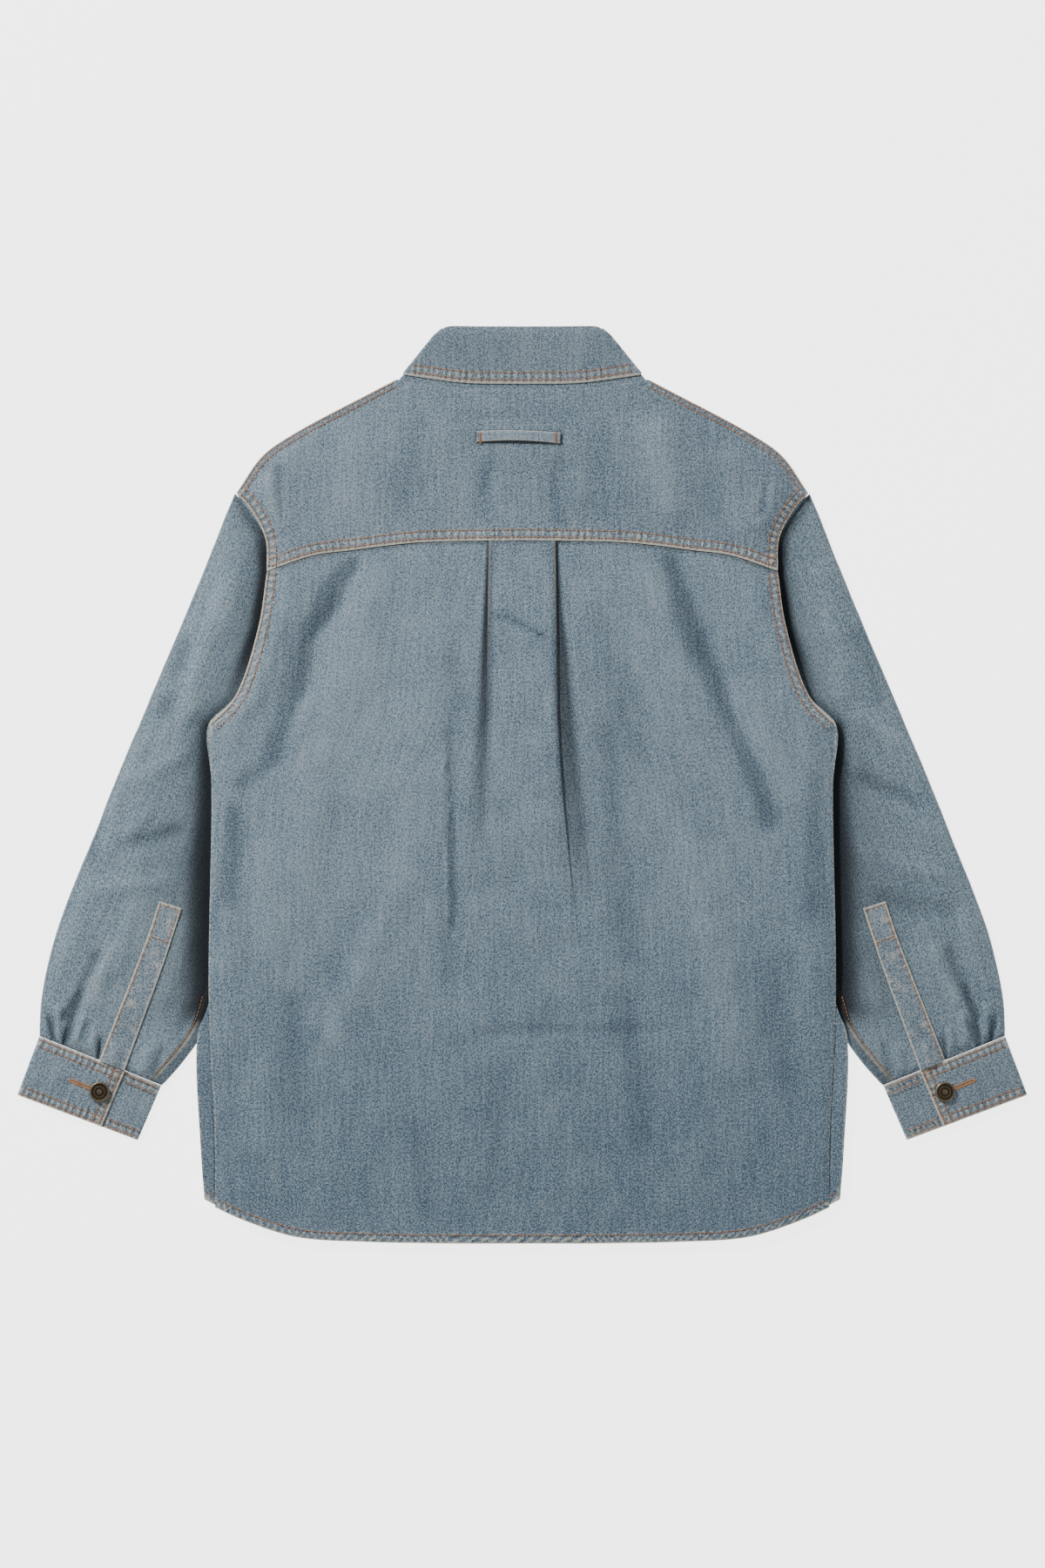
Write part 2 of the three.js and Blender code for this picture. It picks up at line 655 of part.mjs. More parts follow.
const collarStand = () => collarLayer('fold', 'seam', STAND_LEVEL, 0.03);
const collarFall = () => collarLayer('fold', 'edge', FALL_LEVEL, 0);

function lockerLoop() {
  const rows = steps(10).map((t) =>
    steps(1).map((side) => {
      const x = LOOP.x + (t - 0.5) * LOOP.length;
      const y = LOOP.y + (side - 0.5) * LOOP.width;
      const seat = yokeUnderside(x, LOOP.y) + YOKE_WALL + 2 * GAP;
      return levelPair(point(x, y, 0), seat + LOOP.bow * Math.sin(Math.PI * t), LOOP.wall);
    }),
  );
  return clothWall(rows);
}

// A round button with a rim and a raised middle, its flat back at z = 0 and its face up.
function button(height, segments) {
  const profile = [
    { radius: 0, z: 0 },
    { radius: BUTTON_RADIUS - 1, z: 0 },
    { radius: BUTTON_RADIUS, z: 0.4 * height },
    { radius: BUTTON_RADIUS - 1, z: height },
    { radius: BUTTON_RADIUS - 3, z: 0.7 * height },
    { radius: 0, z: 0.85 * height },
  ];
  const outline = profile.map(({ radius, z }) => new THREE.Vector2(radius, z));
  return new THREE.LatheGeometry(outline, segments).rotateX(Math.PI / 2);
}

const shirt = new THREE.Group();
shirt.name = 'denim_overshirt';

function addPiece(name, geometry, look) {
  const mesh = new THREE.Mesh(geometry, new THREE.MeshStandardMaterial(look));
  mesh.name = name;
  shirt.add(mesh);
  return mesh;
}

addPiece('back_yoke', backYoke(), DENIM_PALE);
addPiece('back_panel', backPanel(), DENIM);
addPiece('front_placket', frontPlacket(), DENIM_PALE);
addPiece('collar_stand', collarStand(), DENIM);
addPiece('collar_fall', collarFall(), DENIM_PALE);
addPiece('locker_loop', lockerLoop(), DENIM_PALE);

for (const [side, sign] of [['left', -1], ['right', 1]]) {
  addPiece(`front_${side}`, frontPanel(sign), DENIM);
  addPiece(`sleeve_${side}`, sleeve(sign), DENIM_SLEEVE);
  addPiece(`sleeve_placket_${side}`, sleevePlacket(sign), DENIM_PALE);
  addPiece(`cuff_${side}`, cuff(sign), DENIM_PALE);
  const cuffButton = addPiece(`cuff_button_${side}`, button(CUFF_BUTTON_HEIGHT, 20), BRASS);
  const seat = cuffPlace(CUFF_BUTTON.across, CUFF_BUTTON.down);
  cuffButton.position.set(sign * seat.x, seat.y, 2 * CUFF_LAYER + CUFF_WALL + GAP);
}

for (let i = 0; i < FRONT_BUTTONS.count; i++) {
  const placketButton = addPiece(`front_button_${i + 1}`, button(FRONT_BUTTON_HEIGHT, 12), BRASS);
  placketButton.rotation.y = Math.PI;
  placketButton.position.set(0, FRONT_BUTTONS.top - i * FRONT_BUTTONS.pitch, FRONT_BUTTON_HEIGHT);
}

export default shirt;
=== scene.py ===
# Looks of a denim overshirt that lies flat, face down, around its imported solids.
# Tables are in millimetres, as in the part's source. Blender's own lengths are in metres.
from math import cos, hypot, pi, radians, sin

import bpy
import numpy as np
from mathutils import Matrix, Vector, kdtree


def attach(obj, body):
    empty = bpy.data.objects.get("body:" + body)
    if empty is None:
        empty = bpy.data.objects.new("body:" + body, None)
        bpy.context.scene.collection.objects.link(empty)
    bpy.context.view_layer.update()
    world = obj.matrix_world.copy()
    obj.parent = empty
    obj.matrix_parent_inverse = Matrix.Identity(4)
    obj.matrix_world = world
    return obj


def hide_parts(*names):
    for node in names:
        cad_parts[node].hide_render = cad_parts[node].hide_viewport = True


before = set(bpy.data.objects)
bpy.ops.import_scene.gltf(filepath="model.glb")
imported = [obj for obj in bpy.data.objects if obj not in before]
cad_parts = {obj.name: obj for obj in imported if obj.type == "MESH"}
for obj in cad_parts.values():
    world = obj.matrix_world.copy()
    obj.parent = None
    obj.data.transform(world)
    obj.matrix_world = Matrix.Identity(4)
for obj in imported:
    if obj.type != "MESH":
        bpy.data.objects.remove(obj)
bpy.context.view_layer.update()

MM = 0.001
CLOTH = 1.2
LAYER = 1.5
YOKE_WALL = 1.8
YOKE_SEAM_CENTRE = 219.0
HEM_CENTRE = -410.5
PLACKET_HALF = 17.0
FRONT_NECK_Y = 275.0
CUFF_WALL = 1.8
CUFF_LAYER = 2.1
FALL_LEVEL = (5.1, 0.6)
STAND_LEVEL = (3.6, 2.1)
STITCH_PITCH = 3.3
PLEAT_WIDTH = 2.5
STITCH_SINK = 0.05
SHOULDER_ROWS = (1.5, 5.6)
ARMHOLE_ROWS = (2.0, 8.4)
YOKE_ROWS = (2.8, 9.4)
COLLAR_ROWS = (3.4, 10.0)
CUFF_ROWS = (2.4, 8.4)
HEM_ROW = 7.2
STRIP_ROW = 2.4
NECK_SHARE = 0.42
YOKE_GAP = 0.7
BACK_TOP = YOKE_SEAM_CENTRE - YOKE_GAP
SLEEVE_TOP_COLUMNS = 84
SLEEVE_LENGTH = 500.0
FAR = 1e9

# Buttons, buttonholes and the loop. A place on a cuff is its share across and its share down.
BUTTON_RADIUS = 9.0
CUFF_BUTTON = (0.585, 0.47)
BUTTONHOLE_START = (0.355, 0.47)
FRONT_BUTTONS = {"count": 7, "top": 252, "pitch": 92}
LOOP = {"x": -3.5, "y": 311.5, "length": 75.0, "width": 9.5}

# The picture's scale and height.
MM_A_PIXEL = 0.78
PICTURE_ROWS = 1801

# Half outlines as (x from the centre line, y up the shirt).
NECKLINE = [(0, 354.5), (60, 356), (113, 363)]
SHOULDER = [(113, 363), (134, 352), (207, 313), (233, 294), (256, 261)]
YOKE_ARMHOLE = [(256, 261), (244, 248), (230, 221), (228.5, 191.5)]
YOKE_SEAM = [(0, 219), (93, 217), (153, 210), (186, 205.5), (228.5, 191.5)]
BACK_SIDE = [(228.5, 191.5), (236, 141.5), (257, 79), (280.5, 54), (278, 0), (280.5, -194), (275, -323), (275, -378)]
FRONT_SIDE = [(256, 261), (230, 221), (228.5, 191.5), (236, 141.5), (257, 79), (280.5, 54), (278, 0),
              (280.5, -194), (290.5, -224), (288, -323), (284.5, -371)]
BACK_HEM = [(0, -410.5), (140, -409), (203, -404.5), (251, -389), (275, -378)]
FRONT_HEM = [(17.3, -409.5), (140, -408), (203, -403.5), (251, -388), (284.5, -371)]
FRONT_NECKLINE = [(17.3, 275), (62, 288), (98, 324), (113, 363)]
SLEEVE_HEAD = [(258.4, 262.2), (224, 224), (221, 190), (227, 130), (234, 40)]
SLEEVE_OUTER = [(258.4, 262.2), (284, 196), (333, 79), (381, -38), (418, -135), (430, -190), (432, -225)]
SLEEVE_INNER = [(234, 40), (245, -77), (261, -139), (277, -195), (286, -222), (304, -248),
                (323, -269)]
BODY_SHADOW = [(257, 262), (241, 246), (227, 221), (225.5, 191.5), (233, 141.5), (254, 79), (277, 50)]
STRIP_OUTER = [(325, -104), (335, -134.5), (378.6, -246.5)]
STRIP_INNER = [(304.8, -110.5), (315, -142), (321, -160), (340, -212), (356, -255.6)]
CUFF_SEAM = [(432.8, -225.1), (322.9, -269.5)]
CUFF_LAP = 0.7
CUFF_LAP_COLUMNS = 60
CUFF_UPPER_COLUMNS = 104
CUFF_SEWN_COLUMNS = 111
CUFF_EDGE = [(452.5, -277.5), (344, -318.2)]

# Box pleat: y, half width of its fold edge, depth folded under, degrees that the cloth turns.
PLEAT = [(219, 29.5, 20, 180), (64, 31.5, 14, 180), (20, 34, 6, 180), (-10, 36, 0.6, 170), (-60, 41, 0.6, 90),
         (-110, 47, 0.6, 40), (-170, 54, 0.6, 12), (-410.5, 60, 0.6, 2)]

# Shade beside the pleat's folds, right and left: its middle, its spread and its depth at these heights.
PLEAT_SHADE_Y = [-110, -45, 0, 60, 110, 157, 204, 219]
PLEAT_SHADE = {1: ([9, 9, 8.5, 7, 5.5, 2.6, 1.5, 1.2], [8, 7.5, 7, 5.5, 4.2, 2.4, 1.3, 1.0],
                   [0, 0.46, 0.62, 0.76, 0.8, 0.82, 0.74, 0.6]),
               -1: ([3, 3, 3, 3, 2.4, 1.8, 1.0, 0.8], [6, 6, 6, 5.2, 3.8, 2.4, 1.3, 1.0],
                    [0, 0.08, 0.36, 0.7, 0.86, 0.93, 0.84, 0.7])}

# Soft folds: from x, y to x, y, then half width and height, negative for a trough.
BACK_FOLDS = [
    (-148, 200, -168, 172, 8, -3.4), (-168, 172, -195, 126, 9, -4.8), (-195, 126, -203, 79, 9, -4.2),
    (-203, 79, -226, 17, 10, -3.2), (-226, 17, -256, -2, 10, -1.8),
    (-122, 200, -172, 60, 20, 2.6), (-172, 60, -208, -150, 26, 2.6),
    (-150, 120, -128, -20, 22, 1.8), (-236, -60, -214, -180, 16, 2.2), (-100, -60, -150, -190, 16, 1.5),
    (-240, 120, -262, 40, 12, 2.0), (-257, -20, -262, -110, 9, -2.2),
    (-206, -190, -200, -300, 11, -1.2), (-140, -165, -172, -235, 12, 1.6),
    (-172, -150, -132, -218, 8, -0.8), (-228, -240, -240, -330, 12, 1.2),
    (131, 206, 141, 170, 9, -3.6), (141, 170, 164, 110, 9, -4.6), (164, 110, 188, 54, 10, -3.8),
    (188, 54, 226, -38, 11, -3.0),
    (104, 190, 140, 60, 20, 2.2), (205, 90, 246, -20, 18, 2.6), (262, 10, 262, -120, 10, -1.8),
    (150, -60, 190, -250, 24, 2.2), (92, -180, 110, -330, 13, -1.2), (222, -150, 238, -280, 12, -1.3),
    (70, 150, 104, 20, 14, -1.2), (120, -20, 160, -60, 10, 1.4),
    (-86, 150, -98, -60, 16, 1.2), (-60, 120, -66, -180, 9, -1.2), (74, 60, 96, -160, 12, -1.4),
    (-42, -222, 124, -218, 4, -1.1), (-66.5, 48, -64, -20, 2.6, -2.2), (-64, -20, -61.5, -130, 3.0, -2.6),
    (-70, 40, -66, -120, 3.0, 1.4), (-95, -300, -84, -390, 10, -0.9), (20, -260, 26, -390, 12, 0.8),
    (-20, -250, -26, -380, 10, -0.8), (150, -300, 158, -395, 10, 0.9),
    (-26, 152, -6, 147, 2.8, -1.6), (-8, 147, 22, 131, 3.2, -2.4),
]
YOKE_FOLDS = [
    (-30, 292, -35, 232, 8, -1.6), (34, 292, 32, 232, 8, -1.6), (114, 328, 138, 240, 12, 1.9),
    (-226, 278, -214, 232, 8, 2.0), (-150, 320, -164, 236, 13, 1.2), (-92, 330, -104, 236, 12, -1.0),
    (186, 300, 196, 228, 12, 1.2), (222, 282, 212, 232, 8, 1.6), (70, 320, 66, 240, 12, -1.0),
    (-60, 330, 50, 334, 8, -0.8), (-219, 284, -213, 236, 4.5, -2.6), (221, 280, 215, 240, 4.5, -2.2),
]
LEFT_SLEEVE_FOLDS = [
    (262, 190, 300, 60, 12, 2.6), (300, 30, 352, 0, 10, 2.4), (304, -40, 366, -56, 9, -2.4),
    (312, -84, 392, -96, 10, 2.0), (296, 130, 320, 60, 8, -1.8), (300, 96, 330, 74, 7, 1.6),
    (330, -20, 372, -64, 8, 1.6), (350, -110, 360, -170, 8, 1.6), (300, -130, 318, -196, 10, 2.2),
    (419.5, -231, 427, -202, 2.2, -5.4), (411, -234, 405.5, -208, 2.3, -6.0), (407, -212, 394, -184, 4.2, -4.8),
    (394, -184, 379, -150, 6.0, -2.6), (415.5, -229, 414.5, -198, 3.4, 3.0), (402, -236, 392, -206, 4.4, 3.6),
    (386, -200, 366, -146, 7, 2.2), (381, -246, 377.5, -224, 1.8, -4.2), (386, -244, 382.5, -220, 3.2, 2.8),
    (366, -251, 362, -232, 3.5, 2.0), (340, -260, 334, -236, 5, 2.2), (330, -262, 322, -236, 3.5, -1.8),
    (340, 40, 372, -30, 10, 1.6), (392, -100, 408, -160, 9, 1.4), (376, -20, 384, -70, 6, -1.4),
]
RIGHT_SLEEVE_FOLDS = [
    (264, 196, 292, 80, 12, 2.4), (296, 60, 344, 34, 9, 2.4), (300, 10, 362, -22, 9, -2.2),
    (306, -60, 380, -84, 11, 2.2), (300, 140, 322, 70, 8, -1.6), (318, -100, 392, -116, 8, -1.8),
    (336, -20, 376, -50, 8, 1.6), (356, -130, 366, -186, 8, 1.6), (300, -130, 320, -200, 10, 2.2),
    (420, -231, 426.5, -204, 2.2, -5.4), (410.5, -234, 406, -206, 2.3, -6.0), (407.5, -210, 396, -180, 4.2, -4.8),
    (396, -180, 382, -146, 6.0, -2.6), (416, -229, 415, -198, 3.4, 3.0), (402.5, -236, 393, -206, 4.4, 3.6),
    (388, -198, 368, -144, 7, 2.2), (381, -246, 377, -222, 1.8, -4.2), (386, -244, 382, -218, 3.2, 2.8),
    (364, -251, 361, -230, 3.5, 2.0), (342, -260, 335, -234, 5, 2.2), (331, -262, 324, -232, 3.5, -1.8),
    (346, 30, 374, -40, 10, 1.6), (396, -110, 410, -166, 9, 1.4),
]
COLLAR_BACK = {"fold": [(0, 410.5), (38, 410.6), (67, 410.4), (71.5, 408.4)],
               "seam": [(0, 353.2), (50, 354.6), (111, 360)],
               "edge": [(0, 359), (52, 360), (105, 367)]}
COLLAR_FRONT = {"fold": [(71.5, 408.4), (54, 362), (32, 326), (9, 304)],
                "seam": [(111, 361), (96, 320), (60, 289), (18, 277)],
                "edge": [(105, 367), (112, 318), (92, 270), (60, 232)]}


# Lines, patches and folds

def smooth(x, low, high):
    t = np.clip((x - low) / (high - low), 0.0, 1.0)
    return t * t * (3 - 2 * t)


def line_through(points, samples=40):
    """A smooth line through points, as a function from 0 to 1 along its length."""
    rows = np.array(points, float)
    if len(rows) == 2:
        return lambda t: rows[0] + np.clip(np.asarray(t, float), 0, 1)[..., None] * (rows[1] - rows[0])
    padded = np.vstack([2 * rows[0] - rows[1], rows, 2 * rows[-1] - rows[-2]])
    knots = np.concatenate([[0], np.cumsum(np.linalg.norm(np.diff(padded, axis=0), axis=1) ** 0.5)])
    dense = []
    for i in range(1, len(padded) - 2):
        p0, p1, p2, p3 = padded[i - 1:i + 3]
        t0, t1, t2, t3 = knots[i - 1:i + 3]
        t = np.linspace(t1, t2, samples, endpoint=False)[:, None]
        a1 = (t1 - t) / (t1 - t0) * p0 + (t - t0) / (t1 - t0) * p1
        a2 = (t2 - t) / (t2 - t1) * p1 + (t - t1) / (t2 - t1) * p2
        a3 = (t3 - t) / (t3 - t2) * p2 + (t - t2) / (t3 - t2) * p3
        b1 = (t2 - t) / (t2 - t0) * a1 + (t - t0) / (t2 - t0) * a2
        b2 = (t3 - t) / (t3 - t1) * a2 + (t - t1) / (t3 - t1) * a3
        dense.append((t2 - t) / (t2 - t1) * b1 + (t - t1) / (t2 - t1) * b2)
    dense = np.vstack(dense + [rows[-1:]])
    along = np.concatenate([[0], np.cumsum(np.linalg.norm(np.diff(dense, axis=0), axis=1))])

    def at(t):
        reach = np.clip(np.asarray(t, float), 0, 1) * along[-1]
        return np.stack([np.interp(reach, along, dense[:, 0]), np.interp(reach, along, dense[:, 1])], -1)

    return at


def joined_at(share, first, second):
    def at(t):
        t = np.asarray(t, float)
        early = (t < share)[..., None]
        return np.where(early, first(t / share), second((t - share) / (1 - share)))
    return at


def patch_between(top, bottom, near, far):
    """A patch between four edge lines, as a function of u across and v down."""
    def at(u, v):
        u, v = np.broadcast_arrays(np.asarray(u, float), np.asarray(v, float))
        us, vs = u[..., None], v[..., None]
        across = top(u) * (1 - vs) + bottom(u) * vs
        down = near(v) * (1 - us) + far(v) * us
        near_corners = top(0.0) * (1 - vs) + bottom(0.0) * vs
        far_corners = top(1.0) * (1 - vs) + bottom(1.0) * vs
        return across + down - near_corners * (1 - us) - far_corners * us
    return at


def across_at(outline, y):
    """How far an outline lies from the centre line at a height."""
    table = np.array(outline, float)[::-1]
    return np.interp(y, table[:, 1], table[:, 0])


def pleat_at(y, column):
    table = np.array(PLEAT, float)[::-1]
    return np.interp(y, table[:, 0], table[:, column])


def pleat_root(y):
    """Where a side panel meets the pleat: under its fold edge at the top, beside it further down."""
    return pleat_at(y, 1) + np.interp(y, [-60, -20, 30], [4, 1.5, -2])


def fold_height(folds, x, y):
    """Height of soft folds at a place. Narrow ones are pleats, steep on their outer side."""
    total = np.zeros(np.shape(x))
    for x0, y0, x1, y1, width, height in folds:
        length = hypot(x1 - x0, y1 - y0)
        along_x, along_y = (x1 - x0) / length, (y1 - y0) / length
        along = (x - x0) * along_x + (y - y0) * along_y
        off = (x - x0) * along_y - (y - y0) * along_x
        bend = 0.12 * width * np.sin(along / (2.1 * width) + x0)
        spread = width * (1 + 0.25 * np.sin(along / (3.0 * width) + y0))
        ends = smooth(along, -width, width) * (1 - smooth(along, length - width, length + width))
        if width < PLEAT_WIDTH:
            ends = smooth(along, -2 * width, 0) * (1 - smooth(along, 0.5 * length, 1.1 * length))
            crisp = np.exp(-(np.maximum(off, 0) / (0.5 * width)) ** 2)
            total = total + height * ends * crisp * np.exp(-(np.maximum(-off, 0) / (2.4 * width)) ** 1.3)
        else:
            total = total + height * ends * np.exp(-((off + bend) / spread) ** 2)
    return total


def painted_crease_shade(folds, x, y, share, most):
    """Painted shade in the troughs of soft folds."""
    return np.clip(-share * fold_height(folds, x, y), 0, most)


def ripple(x, y, size, seed, waves=14):
    """A smooth random field of about unit height and the given wavelength."""
    rng = np.random.default_rng(seed)
    total = np.zeros(np.shape(x))
    for _ in range(waves):
        angle = rng.uniform(0, 2 * pi)
        k = 2 * pi / (size * rng.uniform(0.65, 1.6))
        total = total + np.sin(k * (x * cos(angle) + y * sin(angle)) + rng.uniform(0, 2 * pi))
    return total / waves ** 0.5


def sleeve_reach(y):
    return across_at(SLEEVE_HEAD + SLEEVE_INNER[1:], y)


def body_edge(y):
    return across_at(SHOULDER[:-1] + FRONT_SIDE, y)


# Heights of the layers

def front_underside(x, y):
    across = np.abs(x)
    reach = sleeve_reach(y)
    over_sleeve = 2 * LAYER * smooth(across, reach - 70, reach - 25)
    over_buttons = 1.8 * (1 - smooth(across, PLACKET_HALF, 60))
    over_collar = LAYER * smooth(y, 185, 222) * (1 - smooth(across, 125, 165))
    return np.maximum(np.maximum(over_sleeve, over_buttons), over_collar)


def edge_lift(across, y, edge):
    """How far the body's edge stands off the sleeve under it, as a soft roll."""
    stand = 3.6 * smooth(-y, -240, -150) * (1 - smooth(-y, 150, 230))
    return stand * smooth(across, edge - 40, edge - 10) * (1 - 0.3 * smooth(across, edge - 5, edge))


def back_underside(x, y):
    across = np.abs(x)
    edge = body_edge(y)
    inward = 1 - smooth(across, edge - 26, edge - 2)
    pillow = 2.4 * smooth(across, 60, 170) * inward + edge_lift(across, y, edge)
    folds = fold_height(BACK_FOLDS, x, y) + 0.35 * ripple(x, y, 46, 5)
    loft = np.maximum(0.0, 1.9 + folds) * (0.35 + 0.65 * inward) + pillow
    lift = np.maximum(front_underside(x, y), 2.0 * (1 - smooth(across, 74, 125)))
    return lift + LAYER + 0.5 + loft


def yoke_underside(x, y):
    across = np.abs(x)
    edge = body_edge(y)
    inward = 1 - smooth(across, edge - 26, edge - 2)
    near_neck = 3.0 * smooth(y, 290, 345)
    near_pleat = 6.6 * (1 - smooth(across, 30, 62)) * (1 - smooth(y, 222, 300))
    folds = fold_height(YOKE_FOLDS, x, y) + 0.3 * ripple(x, y, 40, 9)
    loft = np.maximum(0.0, 1.6 + folds) * inward * (1 - smooth(y, 310, 352))
    pillow = 2.0 * smooth(across, 50, 150) * inward * (1 - smooth(y, 290, 340)) + edge_lift(across, y, edge)
    return np.maximum(np.maximum(front_underside(x, y) + LAYER + loft, near_neck), near_pleat) + pillow


# Seams: a raised band with stitch grooves, puckers and a worn edge, measured from the cloth's cut line, with painted
# shade along the stitch rows

class Seam:
    def __init__(self, line, rows, band, raise_by, pucker, wear_and_painted_shade=1.0, seed=1, roping=0.0, edge=1.5):
        self.line = line
        self.points = line(np.linspace(0, 1, 260))
        steps = np.linalg.norm(np.diff(self.points, axis=0), axis=1)
        self.along = np.concatenate([[0], np.cumsum(steps)])
        self.rows = rows
        self.band = band
        self.raise_by = raise_by
        self.pucker = pucker
        self.wear_and_painted_shade = wear_and_painted_shade
        self.seed = seed
        self.roping = roping
        self.edge = edge

    def measure(self, x, y):
        """Distance from the seam line and the place along it."""
        flat = np.stack([x.ravel(), y.ravel()], -1)
        away = np.full(len(flat), FAR)
        place = np.zeros(len(flat))
        reach = self.band + 14
        low, high = self.points.min(0) - reach, self.points.max(0) + reach
        near = np.nonzero(((flat > low) & (flat < high)).all(1))[0]
        for start in range(0, len(near), 20000):
            part = near[start:start + 20000]
            gap = np.linalg.norm(flat[part, None, :] - self.points[None, :, :], axis=2)
            best = gap.argmin(1)
            before = np.clip(best - 1, 0, len(self.points) - 2)
            after = np.clip(best, 0, len(self.points) - 2)
            nearest = np.full(len(part), FAR)
            nearest_s = np.zeros(len(part))
            for first in (before, after):
                a, b = self.points[first], self.points[first + 1]
                span = b - a
                share = np.clip(((flat[part] - a) * span).sum(1) / (span ** 2).sum(1), 0, 1)
                off = np.linalg.norm(flat[part] - a - share[:, None] * span, axis=1)
                closer = off < nearest
                nearest = np.where(closer, off, nearest)
                s = self.along[first] + share * (self.along[first + 1] - self.along[first])
                nearest_s = np.where(closer, s, nearest_s)
            away[part] = nearest
            place[part] = nearest_s
        return away.reshape(x.shape), place.reshape(x.shape)

    def shape(self, x, y):
        """Height, and wear with painted shade, that the seam adds at each place."""
        d, s = self.measure(np.abs(x) if self.points[:, 0].min() >= 0 else x, y)
        s = s + np.where(x < 0, 731.0 + self.seed, 0.0)
        near = d < FAR
        d = np.where(near, d, 999.0)
        rng = np.random.default_rng(self.seed)
        phase = 1.6 * np.sin(s / 31.0 + rng.uniform(0, 6)) + 1.3 * np.sin(s / 17.3 + rng.uniform(0, 6))
        period = 6.4
        slant = self.roping * d
        wave = np.sin(2 * pi * (s + slant) / period + phase)
        fine = np.sin(2 * pi * (s - 0.6 * slant) / 4.7 + 1.9 * phase)
        strength = 0.65 + 0.35 * np.sin(s / 23.0 + rng.uniform(0, 6)) * np.sin(s / 11.0 + rng.uniform(0, 6))
        reach = np.exp(-(np.maximum(0.0, d - self.band) / 4.0) ** 2) * (1 - np.exp(-(d / 1.2) ** 2) * 0.4)
        puckers = 1.8 * self.pucker * strength * reach * (0.75 * wave + 0.35 * fine)
        band = self.raise_by * (1 - smooth(d, self.band - 1.0, self.band + 1.4))
        grooves = sum((0.34 * np.exp(-((d - row) / 0.9) ** 2) for row in self.rows), np.zeros(np.shape(d)))
        edge_roll = 0.55 * np.exp(-(d / 0.8) ** 2)
        height = np.where(near, band + puckers - grooves - edge_roll, 0.0)
        crest = np.clip(0.5 + 0.95 * (0.8 * wave + 0.4 * fine), 0, 1)
        edge = np.exp(-(d / self.edge) ** 2)
        inside = (1 - smooth(d, self.band - 1.0, self.band + 1.5)) * (1 - edge)
        ridge = np.exp(-((d - self.band) / 1.4) ** 2)
        to_row = np.minimum.reduce([np.abs(d - row) for row in self.rows] or [np.full(d.shape, 9.0)])
        between = 1 - 0.75 * np.exp(-(to_row / 1.1) ** 2)
        # Pucker crests are bleached as wear; the cloth along the stitch rows is darkened as painted shade.
        fuzz = (0.85 * crest - 0.18) * inside * between - 0.3 * inside * (1 - between)
        wear_and_painted_shade = self.wear_and_painted_shade * (1.1 * edge + fuzz + (0.5 * crest - 0.12) * ridge * strength)
        return height, np.where(near, wear_and_painted_shade, 0.0)


# Cloth pieces

def object_from(name, vertices, faces, smooth_angle=50.0):
    mesh = bpy.data.meshes.new(name)
    mesh.from_pydata([], [], [])
    mesh.vertices.add(len(vertices))
    mesh.vertices.foreach_set("co", (np.asarray(vertices, float) * MM).ravel())
    faces = np.asarray(faces, int)
    sides = faces.shape[1]
    mesh.loops.add(faces.size)
    mesh.loops.foreach_set("vertex_index", faces.ravel())
    mesh.polygons.add(len(faces))
    mesh.polygons.foreach_set("loop_start", np.arange(0, faces.size, sides))
    mesh.update(calc_edges=True)
    mesh.validate()
    mesh.shade_smooth()
    mesh.set_sharp_from_angle(angle=radians(smooth_angle))
    thing = bpy.data.objects.new(name, mesh)
    bpy.context.scene.collection.objects.link(thing)
    return thing


def normals_of(grid):
    normal = np.cross(np.gradient(grid, axis=1), np.gradient(grid, axis=0))
    return normal / np.maximum(np.linalg.norm(normal, axis=2, keepdims=True), 1e-9)


